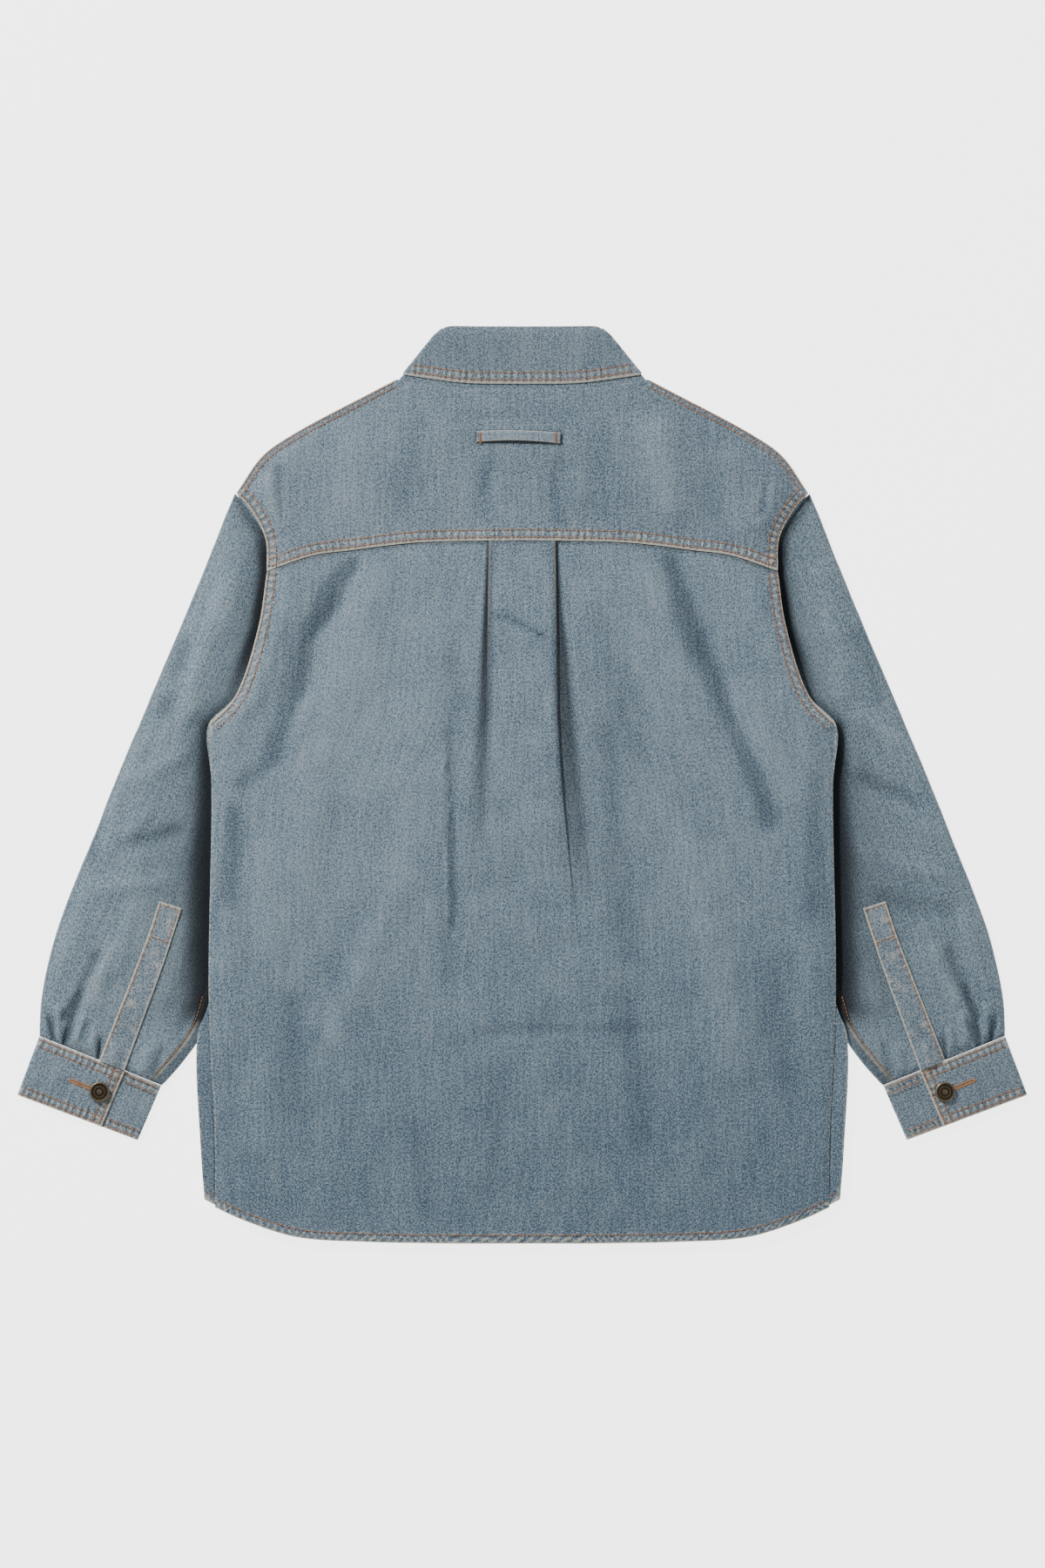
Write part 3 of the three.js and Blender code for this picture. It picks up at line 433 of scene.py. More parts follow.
class Cloth:
    """A thin closed shell from a grid of outer points, with its grain, its wear, its painted shade and its painted
    shadow at each of them.
    """

    def __init__(self, name, outer, inner, grain, wear_and_painted_shade, painted_shade_and_tone=None, painted_shadow_and_dark_tone=None, closed=False):
        self.name = name
        self.outer = outer
        rows, columns = outer.shape[:2]
        count = rows * columns
        ids = np.arange(count).reshape(rows, columns)
        if closed:
            ids = np.concatenate([ids, ids[:, :1]], 1)
        a, b, c, d = ids[:-1, :-1], ids[:-1, 1:], ids[1:, 1:], ids[1:, :-1]
        top = np.stack([a, b, c, d], -1).reshape(-1, 4)
        under = np.stack([a, d, c, b], -1).reshape(-1, 4) + count
        first, last = ids[0], ids[-1]
        ends = [np.stack([first[1:], first[:-1], first[:-1] + count, first[1:] + count], -1),
                np.stack([last[:-1], last[1:], last[1:] + count, last[:-1] + count], -1)]
        if not closed:
            left, right = ids[:, 0], ids[:, -1]
            ends.append(np.stack([left[:-1], left[1:], left[1:] + count, left[:-1] + count], -1))
            ends.append(np.stack([right[1:], right[:-1], right[:-1] + count, right[1:] + count], -1))
        faces = np.vstack([top, under] + ends)
        vertices = np.vstack([outer.reshape(-1, 3), inner.reshape(-1, 3)])
        p = vertices - vertices.mean(0)
        q = faces
        volume = sum((p[q[:, 0]] * np.cross(p[q[:, i]], p[q[:, i + 1]])).sum() for i in (1, 2))
        if volume < 0:
            faces = faces[:, ::-1]
        self.piece = object_from(name, vertices, faces)
        self.area = surface_of(outer, closed) * MM * MM
        # Painted shade and painted shadow are stored in these fields next to the real wear.
        for field, values in (("wear_and_painted_shade", wear_and_painted_shade), ("painted_shade_and_tone", painted_shade_and_tone), ("painted_shadow_and_dark_tone", painted_shadow_and_dark_tone)):
            values = np.zeros(wear_and_painted_shade.shape) if values is None else values
            layer = self.piece.data.attributes.new(field, "FLOAT", "POINT")
            layer.data.foreach_set("value", np.tile(values.ravel(), 2))
        layer = self.piece.data.attributes.new("grain", "FLOAT_VECTOR", "POINT")
        vectors = np.zeros((2 * count, 3))
        vectors[:, :2] = np.tile(grain.reshape(-1, 2), (2, 1))
        vectors[count:, 2] = 40.0
        layer.data.foreach_set("vector", (vectors * MM).ravel())
        self.tree = None

    def seat(self, places, upper=None):
        """Points on the outer face over the given places, and its slope there."""
        if self.tree is None:
            grid = self.outer if upper is None else self.outer[:, :upper]
            normal = normals_of(grid)
            normal = normal * np.sign(normal[grid.shape[0] // 2, grid.shape[1] // 2, 2])
            facing = normal[..., 2] > 0.15
            self.normal = normal[facing]
            self.flat = grid[facing]
            self.tree = kdtree.KDTree(len(self.flat))
            for i, p in enumerate(self.flat):
                self.tree.insert((p[0], p[1], 0.0), i)
            self.tree.balance()
        found = []
        for x, y in places:
            near = self.tree.find_n((x, y, 0.0), 4)
            weights = np.array([1 / (0.2 + n[2]) for n in near])
            ids = [n[1] for n in near]
            z = (self.flat[ids, 2] * weights).sum() / weights.sum()
            found.append(((x, y, z), self.normal[ids[0]]))
        return found


def surface_of(grid, closed=False):
    if closed:
        grid = np.concatenate([grid, grid[:, :1]], 1)
    a = np.cross(grid[:-1, 1:] - grid[:-1, :-1], grid[1:, :-1] - grid[:-1, :-1])
    b = np.cross(grid[:-1, 1:] - grid[1:, 1:], grid[1:, :-1] - grid[1:, 1:])
    return (np.linalg.norm(a, axis=2).sum() + np.linalg.norm(b, axis=2).sum()) / 2


def apply_seams(seams, x, y):
    height = np.zeros(x.shape)
    wear_and_painted_shade = np.zeros(x.shape)
    for seam in seams:
        h, w = seam.shape(x, y)
        height += h
        wear_and_painted_shade = np.where(np.abs(w) > np.abs(wear_and_painted_shade), w, wear_and_painted_shade)
    return height, wear_and_painted_shade


def lying(x, y, level, wall, height):
    """Outer and inner points of cloth at a level, with what its seams add in height."""
    return (np.stack([x, y, level + wall + height], -1),
            np.stack([x, y, level + np.minimum(0.0, 0.4 * height)], -1))


def whole_line(line):
    """A half outline and its mirror image as one line."""
    points = line(np.linspace(0, 1, 80))
    both = np.vstack([points[::-1] * [-1, 1], points[1:]])
    along = np.concatenate([[0], np.cumsum(np.linalg.norm(np.diff(both, axis=0), axis=1))])

    def at(t):
        reach = np.clip(np.asarray(t, float), 0, 1) * along[-1]
        return np.stack([np.interp(reach, along, both[:, 0]), np.interp(reach, along, both[:, 1])], -1)

    return at


neck_line = line_through(NECKLINE)
shoulder_line = line_through(SHOULDER)
yoke_armhole_line = line_through(YOKE_ARMHOLE)
yoke_seam_line = line_through(YOKE_SEAM)
back_hem_line = line_through(BACK_HEM)
front_side_line = line_through(FRONT_SIDE)
front_hem_line = line_through(FRONT_HEM)
back_armhole_line = line_through(BACK_SIDE[:4])


def painted_edge_shadow(x, y):
    """Painted shadow on the sleeve beside and under the body's edge."""
    gap = np.maximum(np.abs(x) - body_edge(y), 0.0)
    fade = smooth(y, -226, -196) * (1 - 0.5 * smooth(y, 200, 262)) * (1 - 0.4 * np.exp(-((y - 80) / 26) ** 2))
    reach = 11.2 + 7.0 * smooth(-y, -60, 0) + 9.0 * smooth(-y, 0, 90)
    core = 0.57 * np.exp(-(gap / (0.8 * reach)) ** 4)
    return (core + 0.42 * np.exp(-(gap / (1.9 * reach)) ** 2)) * fade


def painted_falloff_shade(x, y):
    """Painted shade: deeper blue towards the hem and to the right, where the light falls off, and in the troughs of
    the folds, with painted highlight on their crests.
    """
    low = smooth(-y, 0, 380)
    right = smooth(x, -200, 260)
    return 0.17 * low + 0.05 * right + np.clip(-0.05 * fold_height(BACK_FOLDS, x, y), -0.16, 0.12)


yoke_seams = [
    Seam(whole_line(yoke_seam_line), YOKE_ROWS, 10.2, 0.6, 0.42, seed=3, edge=2.0),
    Seam(shoulder_line, SHOULDER_ROWS, 6.6, 0.5, 0.3, wear_and_painted_shade=0.8, seed=4, edge=1.0),
    Seam(yoke_armhole_line, ARMHOLE_ROWS, 9.5, 0.5, 0.34, seed=5, edge=1.1),
    Seam(whole_line(neck_line), (), 2.0, 0.1, 0.22, wear_and_painted_shade=0.1, seed=6),
]


def make_yoke():
    patch = patch_between(joined_at(NECK_SHARE, neck_line, shoulder_line), yoke_seam_line,
                          line_through([NECKLINE[0], YOKE_SEAM[0]]), yoke_armhole_line)
    u = np.linspace(-1, 1, 231)
    v = np.linspace(0, 1, 76)
    place = patch(np.abs(u)[None, :], v[:, None])
    x = place[..., 0] * np.sign(u)[None, :]
    y = place[..., 1]
    height, wear_and_painted_shade = apply_seams(yoke_seams, x, y)
    outer, inner = lying(x, y, yoke_underside(x, y), YOKE_WALL, height)
    # Painted shade: darker to the right, where the light falls off, and in fold troughs, lighter on fold crests;
    # painted shadow under the collar's edge and round the loop.
    painted_shade_and_tone = 0.1 * smooth(x, -160, 240) + np.clip(-0.1 * fold_height(YOKE_FOLDS, x, y), -0.2, 0.4)
    collar_x, collar_y = zip(*COLLAR_BACK["edge"])
    below_collar = np.maximum(np.interp(np.abs(x), collar_x, collar_y) - y, 0)
    painted_collar_shadow = 0.3 * np.exp(-(below_collar / 2.5) ** 2) * (np.abs(x) < 112)
    off_x = np.maximum(np.abs(x - LOOP["x"]) - LOOP["length"] / 2, 0)
    off_y = np.maximum(np.abs(y - LOOP["y"] + 0.7) - 5.0, 0)
    painted_loop_shadow = 0.55 * np.exp(-(np.hypot(off_x, off_y) / 1.7) ** 2)
    return Cloth("yoke_cloth", outer, inner, np.stack([x, y], -1), wear_and_painted_shade, painted_shade_and_tone, np.maximum(painted_collar_shadow, painted_loop_shadow))


def pleat_section(y, side_level):
    """Half of the pleat in section, from the side panel to the centre: places and the way they face."""
    turn = radians(float(pleat_at(y, 3)))
    under = float(pleat_at(y, 2))
    radius = LAYER / 2
    outer_x = float(pleat_at(y, 1)) - radius
    x = outer_x + 2 * radius * sin(turn) + under * cos(turn)
    z = side_level
    rows = []
    for angle in np.linspace(0, turn, 7):
        rows.append((x - radius * sin(angle), z + radius * (1 - cos(angle)), sin(angle), cos(angle)))
    x -= radius * sin(turn) + under * cos(turn)
    z += radius * (1 - cos(turn)) + under * sin(turn)
    for angle in np.linspace(0, turn, 7):
        facing = turn - angle
        rows.append((x + radius * (sin(facing) - sin(turn)), z + radius * (cos(facing) - cos(turn)),
                     sin(facing), cos(facing)))
    top_x, top_z = rows[-1][0], rows[-1][1]
    for share in np.linspace(1, 0, 16)[1:]:
        rows.append((top_x * share, top_z, 0.0, 1.0))
    return np.array(rows)


back_seams = [
    Seam(back_armhole_line, ARMHOLE_ROWS, 9.5, 0.5, 0.34, seed=7, edge=1.1),
    Seam(whole_line(back_hem_line), (HEM_ROW,), 8.2, 0.9, 0.6, wear_and_painted_shade=1.05, seed=8, roping=0.9, edge=1.0),
    Seam(line_through([(40, 217.9), (93, 216.2), (153, 209.2), (186, 204.7), (228.5, 190.8)]),
         (), 1.2, 0.0, 0.4, wear_and_painted_shade=0.25, seed=12),
    Seam(line_through(BACK_SIDE[3:]), (), 1.5, 0.0, 0.14, wear_and_painted_shade=0.35, seed=13),
]
pleat_seam = Seam(line_through([(-60, BACK_TOP), (60, BACK_TOP)]), (), 1.2, 0.0, 0.4, seed=14)


def side_panel(sign, x, y):
    """One side of the back: outer and inner points, wear, painted shade and painted shadow."""
    height, wear_and_painted_shade = apply_seams(back_seams, sign * x, y)
    outer, inner = lying(sign * x, y, back_underside(sign * x, y), CLOTH, height)
    middle, wide, depth = [np.interp(y, PLEAT_SHADE_Y, row) for row in PLEAT_SHADE[sign]]
    off = np.maximum(np.abs(x - pleat_at(y, 1) - middle) - 0.4 * middle, 0)
    seam_x, seam_y = zip(*YOKE_SEAM)
    below_seam = np.interp(x, seam_x, seam_y) - y
    # Painted shadow beside the pleat's fold and just below the yoke seam, and painted shade in fold troughs.
    painted_shadow_and_dark_tone = np.maximum.reduce([depth * np.exp(-(off / wide) ** 2), 0.6 * np.exp(-((below_seam - 1.0) / 1.8) ** 2),
                              painted_crease_shade(BACK_FOLDS, sign * x, y, 0.11, 0.5)])
    return outer, inner, wear_and_painted_shade, painted_falloff_shade(sign * x, y), painted_shadow_and_dark_tone


def pleat_box(sign, sections, centre_level, heights):
    """Half of the pleat from a side panel to the centre, with the same fields as that panel."""
    x, z = sign * sections[..., 0], sections[..., 1]
    facing_x, facing_z = sign * sections[..., 2], sections[..., 3]
    blend = np.concatenate([np.zeros(14), np.linspace(0, 1, 16)[1:]])
    z = z * (1 - blend) + centre_level[:, None] * blend
    y = np.broadcast_to(heights[:, None], x.shape)
    columns = np.arange(x.shape[1])[None, :]
    on_top = smooth(columns, 12, 16) * np.ones(x.shape)
    height, wear_and_painted_shade = apply_seams(back_seams[1:2], x, y)
    seam_pucker, _ = apply_seams([pleat_seam], x, y)
    lift = (fold_height(BACK_FOLDS, x, y) + 0.35 * ripple(x, y, 46, 5) + seam_pucker) * on_top
    height = height * np.clip(facing_z, 0, 1)
    outer = np.stack([x + facing_x * CLOTH / 2, y, z + facing_z * CLOTH / 2 + lift + height], -1)
    inner = np.stack([x - facing_x * CLOTH / 2, y, z - facing_z * CLOTH / 2 + lift], -1)
    from_edge = np.abs(x) - pleat_at(y, 1)
    worn = np.exp(-(from_edge / 1.3) ** 2) * smooth(y, 70, 200) * smooth(columns, 9, 13)
    # Painted shade on the cloth folded under the pleat, painted shadow beside its right fold edge and below the yoke
    # seam, and painted shade in fold troughs.
    under = 0.7 * (1 - on_top) * smooth(pleat_at(y, 3), 20, 170) * (0.35 + 0.65 * smooth(y, -90, 60))
    beside = 0.24 * np.exp(-(from_edge / 9.0) ** 2) * smooth(-y, -60, 0) * (1 - smooth(-y, 50, 130)) * (sign > 0)
    below_seam = 0.55 * np.exp(-((BACK_TOP - y - 0.5) / 1.8) ** 2)
    creased = painted_crease_shade(BACK_FOLDS, x, y, 0.11, 0.5) * on_top
    return outer, inner, wear_and_painted_shade + 0.95 * worn, painted_falloff_shade(x, y), np.maximum.reduce([under, below_seam, beside, creased])


def make_back():
    v = np.concatenate([np.linspace(0, 0.04, 14, endpoint=False), np.linspace(0.04, 0.97, 150, endpoint=False),
                        np.linspace(0.97, 1, 20)])
    heights = BACK_TOP + (HEM_CENTRE - BACK_TOP) * v
    root_x = pleat_root(heights)
    seam = line_through([(root_x[0], BACK_TOP)] + [(x, y - YOKE_GAP) for x, y in YOKE_SEAM[1:]])
    hem = line_through([(root_x[-1], HEM_CENTRE)] + BACK_HEM[1:])
    side = line_through([(228.5, 190.8)] + BACK_SIDE[1:])

    def beside_pleat(t):
        y = BACK_TOP + (HEM_CENTRE - BACK_TOP) * np.asarray(t)
        return np.stack([pleat_root(y), y], -1)

    u = np.concatenate([np.linspace(1, 0.93, 20, endpoint=False), np.linspace(0.93, 0.1, 54, endpoint=False),
                        np.linspace(0.1, 0, 16)])
    place = patch_between(seam, hem, beside_pleat, side)(u[None, :], v[:, None])
    panels = {sign: side_panel(sign, place[..., 0], place[..., 1]) for sign in (1, -1)}
    sections = {sign: np.array([pleat_section(y, level + CLOTH / 2) for y, level in zip(heights, panel[1][:, -1, 2])])
                for sign, panel in panels.items()}
    centre_level = 0.5 * (sections[1][:, -1, 1] + sections[-1][:, -1, 1])
    left, right = (pleat_box(sign, sections[sign], centre_level, heights) for sign in (-1, 1))
    outer, inner, wear_and_painted_shade, painted_shade_and_tone, painted_shadow_and_dark_tone = (
        np.concatenate([left_side, left_box[:, :-1], right_box[:, ::-1], right_side[:, ::-1]], 1)
        for left_side, left_box, right_box, right_side in zip(panels[-1], left, right, panels[1]))
    along = np.concatenate([np.zeros((len(v), 1)),
                            np.cumsum(np.linalg.norm(np.diff(outer[..., [0, 2]], axis=1), axis=2), axis=1)], 1)
    grain = np.stack([along - along[:, along.shape[1] // 2][:, None], outer[..., 1]], -1)
    return Cloth("back_cloth", outer, inner, grain, wear_and_painted_shade, painted_shade_and_tone, painted_shadow_and_dark_tone)


def make_front(side, sign):
    patch = patch_between(joined_at(NECK_SHARE, line_through(FRONT_NECKLINE), shoulder_line), front_hem_line,
                          line_through([FRONT_NECKLINE[0], FRONT_HEM[0]]), front_side_line)
    u = np.concatenate([np.linspace(0, 0.9, 34, endpoint=False), np.linspace(0.9, 1, 18)])
    v = np.linspace(0, 1, 150)
    place = patch(u[None, :], v[:, None])
    x, y = place[..., 0], place[..., 1]
    seams = [Seam(front_hem_line, (HEM_ROW,), 8.2, 0.4, 0.3, seed=21, roping=0.9),
             Seam(line_through(FRONT_SIDE[7:]), (), 1.0, 0.0, 0.2, wear_and_painted_shade=0.5, seed=22)]
    height, wear_and_painted_shade = apply_seams(seams, x, y)
    level = front_underside(x, y)
    back_edge = across_at(BACK_SIDE, y)
    slope = 1.2 * smooth(x, back_edge - 8, back_edge)
    step = 1.6 * smooth(x, back_edge - 1.6, back_edge + 0.8)
    rise = (slope + step) * smooth(-y, 170, 215)
    outer = np.stack([sign * x, y, level + CLOTH + np.maximum(0, height) + rise], -1)
    inner = np.stack([sign * x, y, level + rise * 0.8], -1)
    grain = np.stack([sign * x, y], -1)
    # Painted shadow along the back's side edge, and painted shade deepening towards the hem.
    painted_shadow_and_dark_tone = 0.06 * np.exp(-(np.maximum(x - back_edge, 0) / 3.0) ** 2)
    return Cloth(f"front_cloth_{side}", outer, inner, grain, wear_and_painted_shade, 0.2 * smooth(-y, -150, 330), painted_shadow_and_dark_tone)


def make_placket_front():
    y = np.linspace(FRONT_NECK_Y, HEM_CENTRE + 1, 180)[:, None] * np.ones((1, 13))
    x = np.ones((180, 1)) * np.linspace(-PLACKET_HALF, PLACKET_HALF, 13)[None, :]
    seams = [Seam(line_through([(s * PLACKET_HALF, FRONT_NECK_Y), (s * PLACKET_HALF, HEM_CENTRE + 1)]),
                  (3.0,), 4.0, 0.1, 0.15, seed=24 + s) for s in (-1, 1)]
    height, wear_and_painted_shade = apply_seams(seams, x, y)
    outer = np.stack([x, y, np.full(x.shape, 1.8) - 0.3 * np.clip(height, -0.3, 0.3)], -1)
    inner = np.stack([x, y, np.full(x.shape, 3.2)], -1)
    return Cloth("placket_cloth", outer, inner, np.stack([x, y], -1), wear_and_painted_shade)


sleeve_patch = patch_between(line_through(SLEEVE_HEAD), line_through([SLEEVE_OUTER[-1], SLEEVE_INNER[-1]]),
                             line_through(SLEEVE_OUTER), line_through(SLEEVE_INNER))


def sleeve_rise(x, y, folds, seed):
    """Height of the middle of a sleeve's upper layer over the middle of its lower one."""
    out = smooth(x, body_edge(y) + 1, body_edge(y) + 26)
    free = smooth(-y, 195, 240)
    out = np.maximum(out, 0.8 * free)
    soft = fold_height(folds, x, y) + 0.35 * ripple(x, y, 34, seed)
    return LAYER + out * np.maximum(0.2, 3.4 + soft)


underarm_line = line_through([(x + 7.2, y + 6.0) for x, y in SLEEVE_INNER[2:]])


def make_sleeve(side, sign, folds, seed):
    rows, top_count, turn_count = 190, SLEEVE_TOP_COLUMNS, 6
    v = np.linspace(0, 1, rows)[:, None]
    u = np.linspace(0.012, 0.988, top_count)[None, :]
    place = sleeve_patch(u, v)
    x, y = place[..., 0], place[..., 1]
    rise = sleeve_rise(x, y, folds, seed)
    from_cuff = SLEEVE_LENGTH * (1 - v)
    rise = np.where(from_cuff < 12, np.minimum(rise, 3.4 + 3.6 * smooth(from_cuff, 0, 12)), rise)
    # The seam along the cuff's top has negative wear: a painted shadow line just above the cuff.
    seams = [Seam(line_through([SLEEVE_OUTER[-1], SLEEVE_INNER[-1]]), (), 1.5, 0.0, 0.3, wear_and_painted_shade=-0.3, seed=seed + 1),
             Seam(underarm_line, (1.2,), 1.8, 0.25, 0.24, seed=seed + 2),
             Seam(line_through(BODY_SHADOW), (), 4.0, 0.0, 0.42, wear_and_painted_shade=0.1, seed=seed + 3)]
    height, wear_and_painted_shade = apply_seams(seams, x, y)
    across = np.gradient(place, axis=1)
    width_dir = across / np.maximum(np.linalg.norm(across, axis=2, keepdims=True), 1e-9)
    half_span = np.minimum(u, 1 - u) * np.linalg.norm(place[:, -1] - place[:, 0], axis=1)[:, None]
    crown = 1 - np.exp(-(half_span / 7.0) ** 2)
    edge_rise = LAYER + (rise - LAYER) * (0.45 + 0.55 * crown)
    middle_z = CLOTH / 2 + edge_rise
    up = np.zeros(place.shape[:2] + (3,))
    up[..., 2] = 1
    top_mid = np.concatenate([place, (middle_z + height)[..., None]], -1)

    def turn(column, outward):
        radius = edge_rise[:, column] / 2
        angles = np.linspace(pi / 2, -pi / 2, turn_count + 2)[1:-1]
        mids, normals = [], []
        for angle in angles:
            normal = np.concatenate([outward * cos(angle), np.full((rows, 1), sin(angle))], 1)
            base = np.concatenate([place[:, column], (CLOTH / 2 + radius)[:, None]], 1)
            mids.append(base + normal * radius[:, None])
            normals.append(normal)
        return np.stack(mids, 1), np.stack(normals, 1)

    inner_mid, inner_n = turn(-1, width_dir[:, -1])
    outer_mid, outer_n = turn(0, -width_dir[:, 0])
    low_columns = np.linspace(top_count - 1, 0, 22).round().astype(int)
    low_mid = np.concatenate([place, np.full(place.shape[:2] + (1,), CLOTH / 2)], -1)[:, low_columns]
    middle = np.concatenate([top_mid, inner_mid, low_mid, outer_mid[:, ::-1]], 1)
    normal = np.concatenate([up, inner_n, -up[:, low_columns], outer_n[:, ::-1]], 1)
    outer = middle + normal * CLOTH / 2
    inner = middle - normal * CLOTH / 2
    ring = outer.shape[1]
    wear_and_shade_ring = np.zeros((rows, ring))
    wear_and_shade_ring[:, :top_count] = wear_and_painted_shade
    wear_and_shade_ring[:, top_count:top_count + turn_count] = 0.3
    wear_and_shade_ring[:, -turn_count:] = 0.22
    painted_shade_and_tone = np.zeros((rows, ring))
    # Painted shade and painted highlight on the folds, painted shade over the whole right sleeve where the light is
    # weaker, and painted shade on the inner edge's roll.
    painted_shade_and_tone[:, :top_count] = np.clip(-0.03 * fold_height(folds, x, y), -0.12, 0.12) + 0.06 * (sign > 0)
    painted_shade_and_tone[:, top_count:top_count + turn_count] = 0.3
    painted_shadow_and_dark_tone = np.zeros((rows, ring))
    # Painted shade over the lower layer's strip beyond the underarm seam and a painted dark line along that seam,
    # painted shadow beside the body's edge, and painted shade in fold troughs.
    from_inner = np.linalg.norm(place - place[:, -1:], axis=2)
    painted_underarm_shade = smooth(-y, 176, 192) * (0.42 * (1 - smooth(from_inner, 8.4, 9.4))
                                         + 0.7 * np.exp(-((from_inner - 9.4) / 0.9) ** 2))
    painted_shadow_and_dark_tone[:, :top_count] = painted_underarm_shade + painted_edge_shadow(x, y) + painted_crease_shade(folds, x, y, 0.12, 0.6)
    along = np.concatenate([np.zeros((rows, 1)), np.cumsum(np.linalg.norm(np.diff(outer, axis=1), axis=2), 1)], 1)
    down = np.cumsum(np.concatenate([[0], np.linalg.norm(np.diff(place[:, top_count // 2], axis=0), axis=1)]))
    grain = np.stack([along, np.broadcast_to(-down[:, None], along.shape)], -1)
    if sign < 0:
        outer = outer * [-1, 1, 1]
        inner = inner * [-1, 1, 1]
    return Cloth(f"sleeve_cloth_{side}", outer, inner, grain + [0, 60.0 * seed], wear_and_shade_ring, painted_shade_and_tone, painted_shadow_and_dark_tone, closed=True)


def make_sleeve_placket(side, sign, folds, seed):
    rows, columns = 130, 25
    share = np.linspace(0, 1, rows)
    across = np.linspace(0, 1, columns)[None, :, None]
    outer_line, inner_line = line_through(STRIP_OUTER), line_through(STRIP_INNER)
    place = outer_line(share)[:, None] * (1 - across) + inner_line(share)[:, None] * across
    x, y = place[..., 0], place[..., 1]
    crumple = 0.6 * ripple(x, y, 15, seed + 9)
    base = CLOTH + sleeve_rise(x, y, folds, seed) + 0.6 + 0.5 * np.maximum(0, crumple)
    lines = [line_through([STRIP_OUTER[0], STRIP_INNER[0]]), inner_line, outer_line]
    seams = [Seam(line, (STRIP_ROW,), 3.2, 0.15, 0.25, seed=seed + 30 + i) for i, line in enumerate(lines)]
    height, wear_and_painted_shade = apply_seams(seams, x, y)
    wear_and_painted_shade = np.where(np.abs(wear_and_painted_shade) > 0.3, wear_and_painted_shade, 0.18 + 0.3 * crumple)
    outer = np.stack([sign * x, y, base + CLOTH + height], -1)
    inner = np.stack([sign * x, y, base], -1)
    cloth = Cloth(f"sleeve_placket_cloth_{side}", outer, inner, np.stack([x, y], -1), wear_and_painted_shade)
    return cloth, lines, line_through([STRIP_OUTER[1], STRIP_INNER[1]])


def cuff_place(across, down):
    """A place on a cuff from its share across and its share down."""
    across, down = np.asarray(across)[..., None], np.asarray(down)[..., None]
    seam, edge = np.array(CUFF_SEAM), np.array(CUFF_EDGE)
    first = seam[0] + (seam[1] - seam[0]) * across
    second = edge[0] + (edge[1] - edge[0]) * across
    return first + (second - first) * down


def cuff_section():
    """A cuff in section, from its lapped end round both layers: share across, height, and the way it faces."""
    low = CUFF_WALL / 2
    middle = low + CUFF_LAYER
    high = middle + CUFF_LAYER
    between = (low + middle) / 2
    table = np.array([
        (0.7, high, 90), (0.46, high, 90), (0.36, high - 0.5, 90), (0.22, middle + 1.1, 90), (0.1, middle + 0.9, 90),
        (0.03, middle + 0.5, 90), (0.014, middle - 0.1, 135), (0.01, between, 180), (0.014, low + 0.3, 225),
        (0.03, low, 270), (0.5, low, 270), (0.98, low, 270), (0.987, low + 0.3, 315), (0.99, between, 360),
        (0.987, middle - 0.3, 405), (0.98, middle, 450), (0.48, middle, 450)])
    steps = [44, 12, 16, 14, 8, 3, 3, 3, 4, 24, 24, 3, 3, 3, 3, 40]
    fine = [table[:1]]
    for start, end, count in zip(table, table[1:], steps):
        fine.append(start + (end - start) * np.linspace(0, 1, count + 1)[1:, None])
    return np.vstack(fine)


def make_cuff(side, sign, seed):
    section = cuff_section()
    column = np.arange(len(section))[None, :]
    across = np.broadcast_to(section[:, 0][None, :], (46, len(section)))
    down = np.broadcast_to(np.linspace(0, 1, 46)[:, None], across.shape)
    place = cuff_place(across, down)
    x, y = place[..., 0], place[..., 1]
    turn = np.radians(section[:, 2])
    inward = np.array(CUFF_SEAM[1]) - np.array(CUFF_SEAM[0])
    inward = inward / np.linalg.norm(inward)
    lines = {"seam": line_through(CUFF_SEAM), "edge": line_through(CUFF_EDGE),
             "lap": line_through([cuff_place(CUFF_LAP, 0.0), cuff_place(CUFF_LAP, 1.0)])}
    seams = [Seam(lines["seam"], CUFF_ROWS, 9.4, 0.25, 0.34, seed=seed + 1, edge=1.3),
             Seam(lines["edge"], CUFF_ROWS, 9.4, 0.25, 0.34, seed=seed + 2, edge=1.3)]
    lap = [Seam(lines["lap"], (2.8, 8.8), 9.8, 0.2, 0.28, seed=seed + 3, edge=1.8)]
    height, wear_and_painted_shade = apply_seams(seams, x, y)
    lap_height, lap_wear_and_shade = apply_seams(lap, x, y)
    on_lap = column <= CUFF_LAP_COLUMNS
    height = (height + 0.25 * ripple(x, y, 22, seed)) + np.where(on_lap, lap_height, 0)
    wear_and_painted_shade = np.where(on_lap & (np.abs(lap_wear_and_shade) > np.abs(wear_and_painted_shade)), lap_wear_and_shade, wear_and_painted_shade)
    upper = np.clip(np.sin(turn), 0, 1)[None, :] * (column <= CUFF_UPPER_COLUMNS)
    normal = np.stack([np.cos(turn) * inward[0], np.cos(turn) * inward[1], np.sin(turn)], -1)[None]
    middle = np.stack([x, y, np.broadcast_to(section[:, 1][None, :], x.shape)], -1)
    puff = 0.7 * np.sin(pi * down) * upper * (section[:, 0] < 0.66)[None, :]
    raised = [0, 0, 1.0]
    outer = middle + normal * CUFF_WALL / 2 + (height * upper + puff)[..., None] * raised
    inner = middle - normal * CUFF_WALL / 2 + puff[..., None] * raised
    outer[..., 0] *= sign
    inner[..., 0] *= sign
    grain = np.stack([across * 118.0, -down * 55.0 + 17.0 * seed], -1)
    return Cloth(f"cuff_cloth_{side}", outer, inner, grain, wear_and_painted_shade), lines


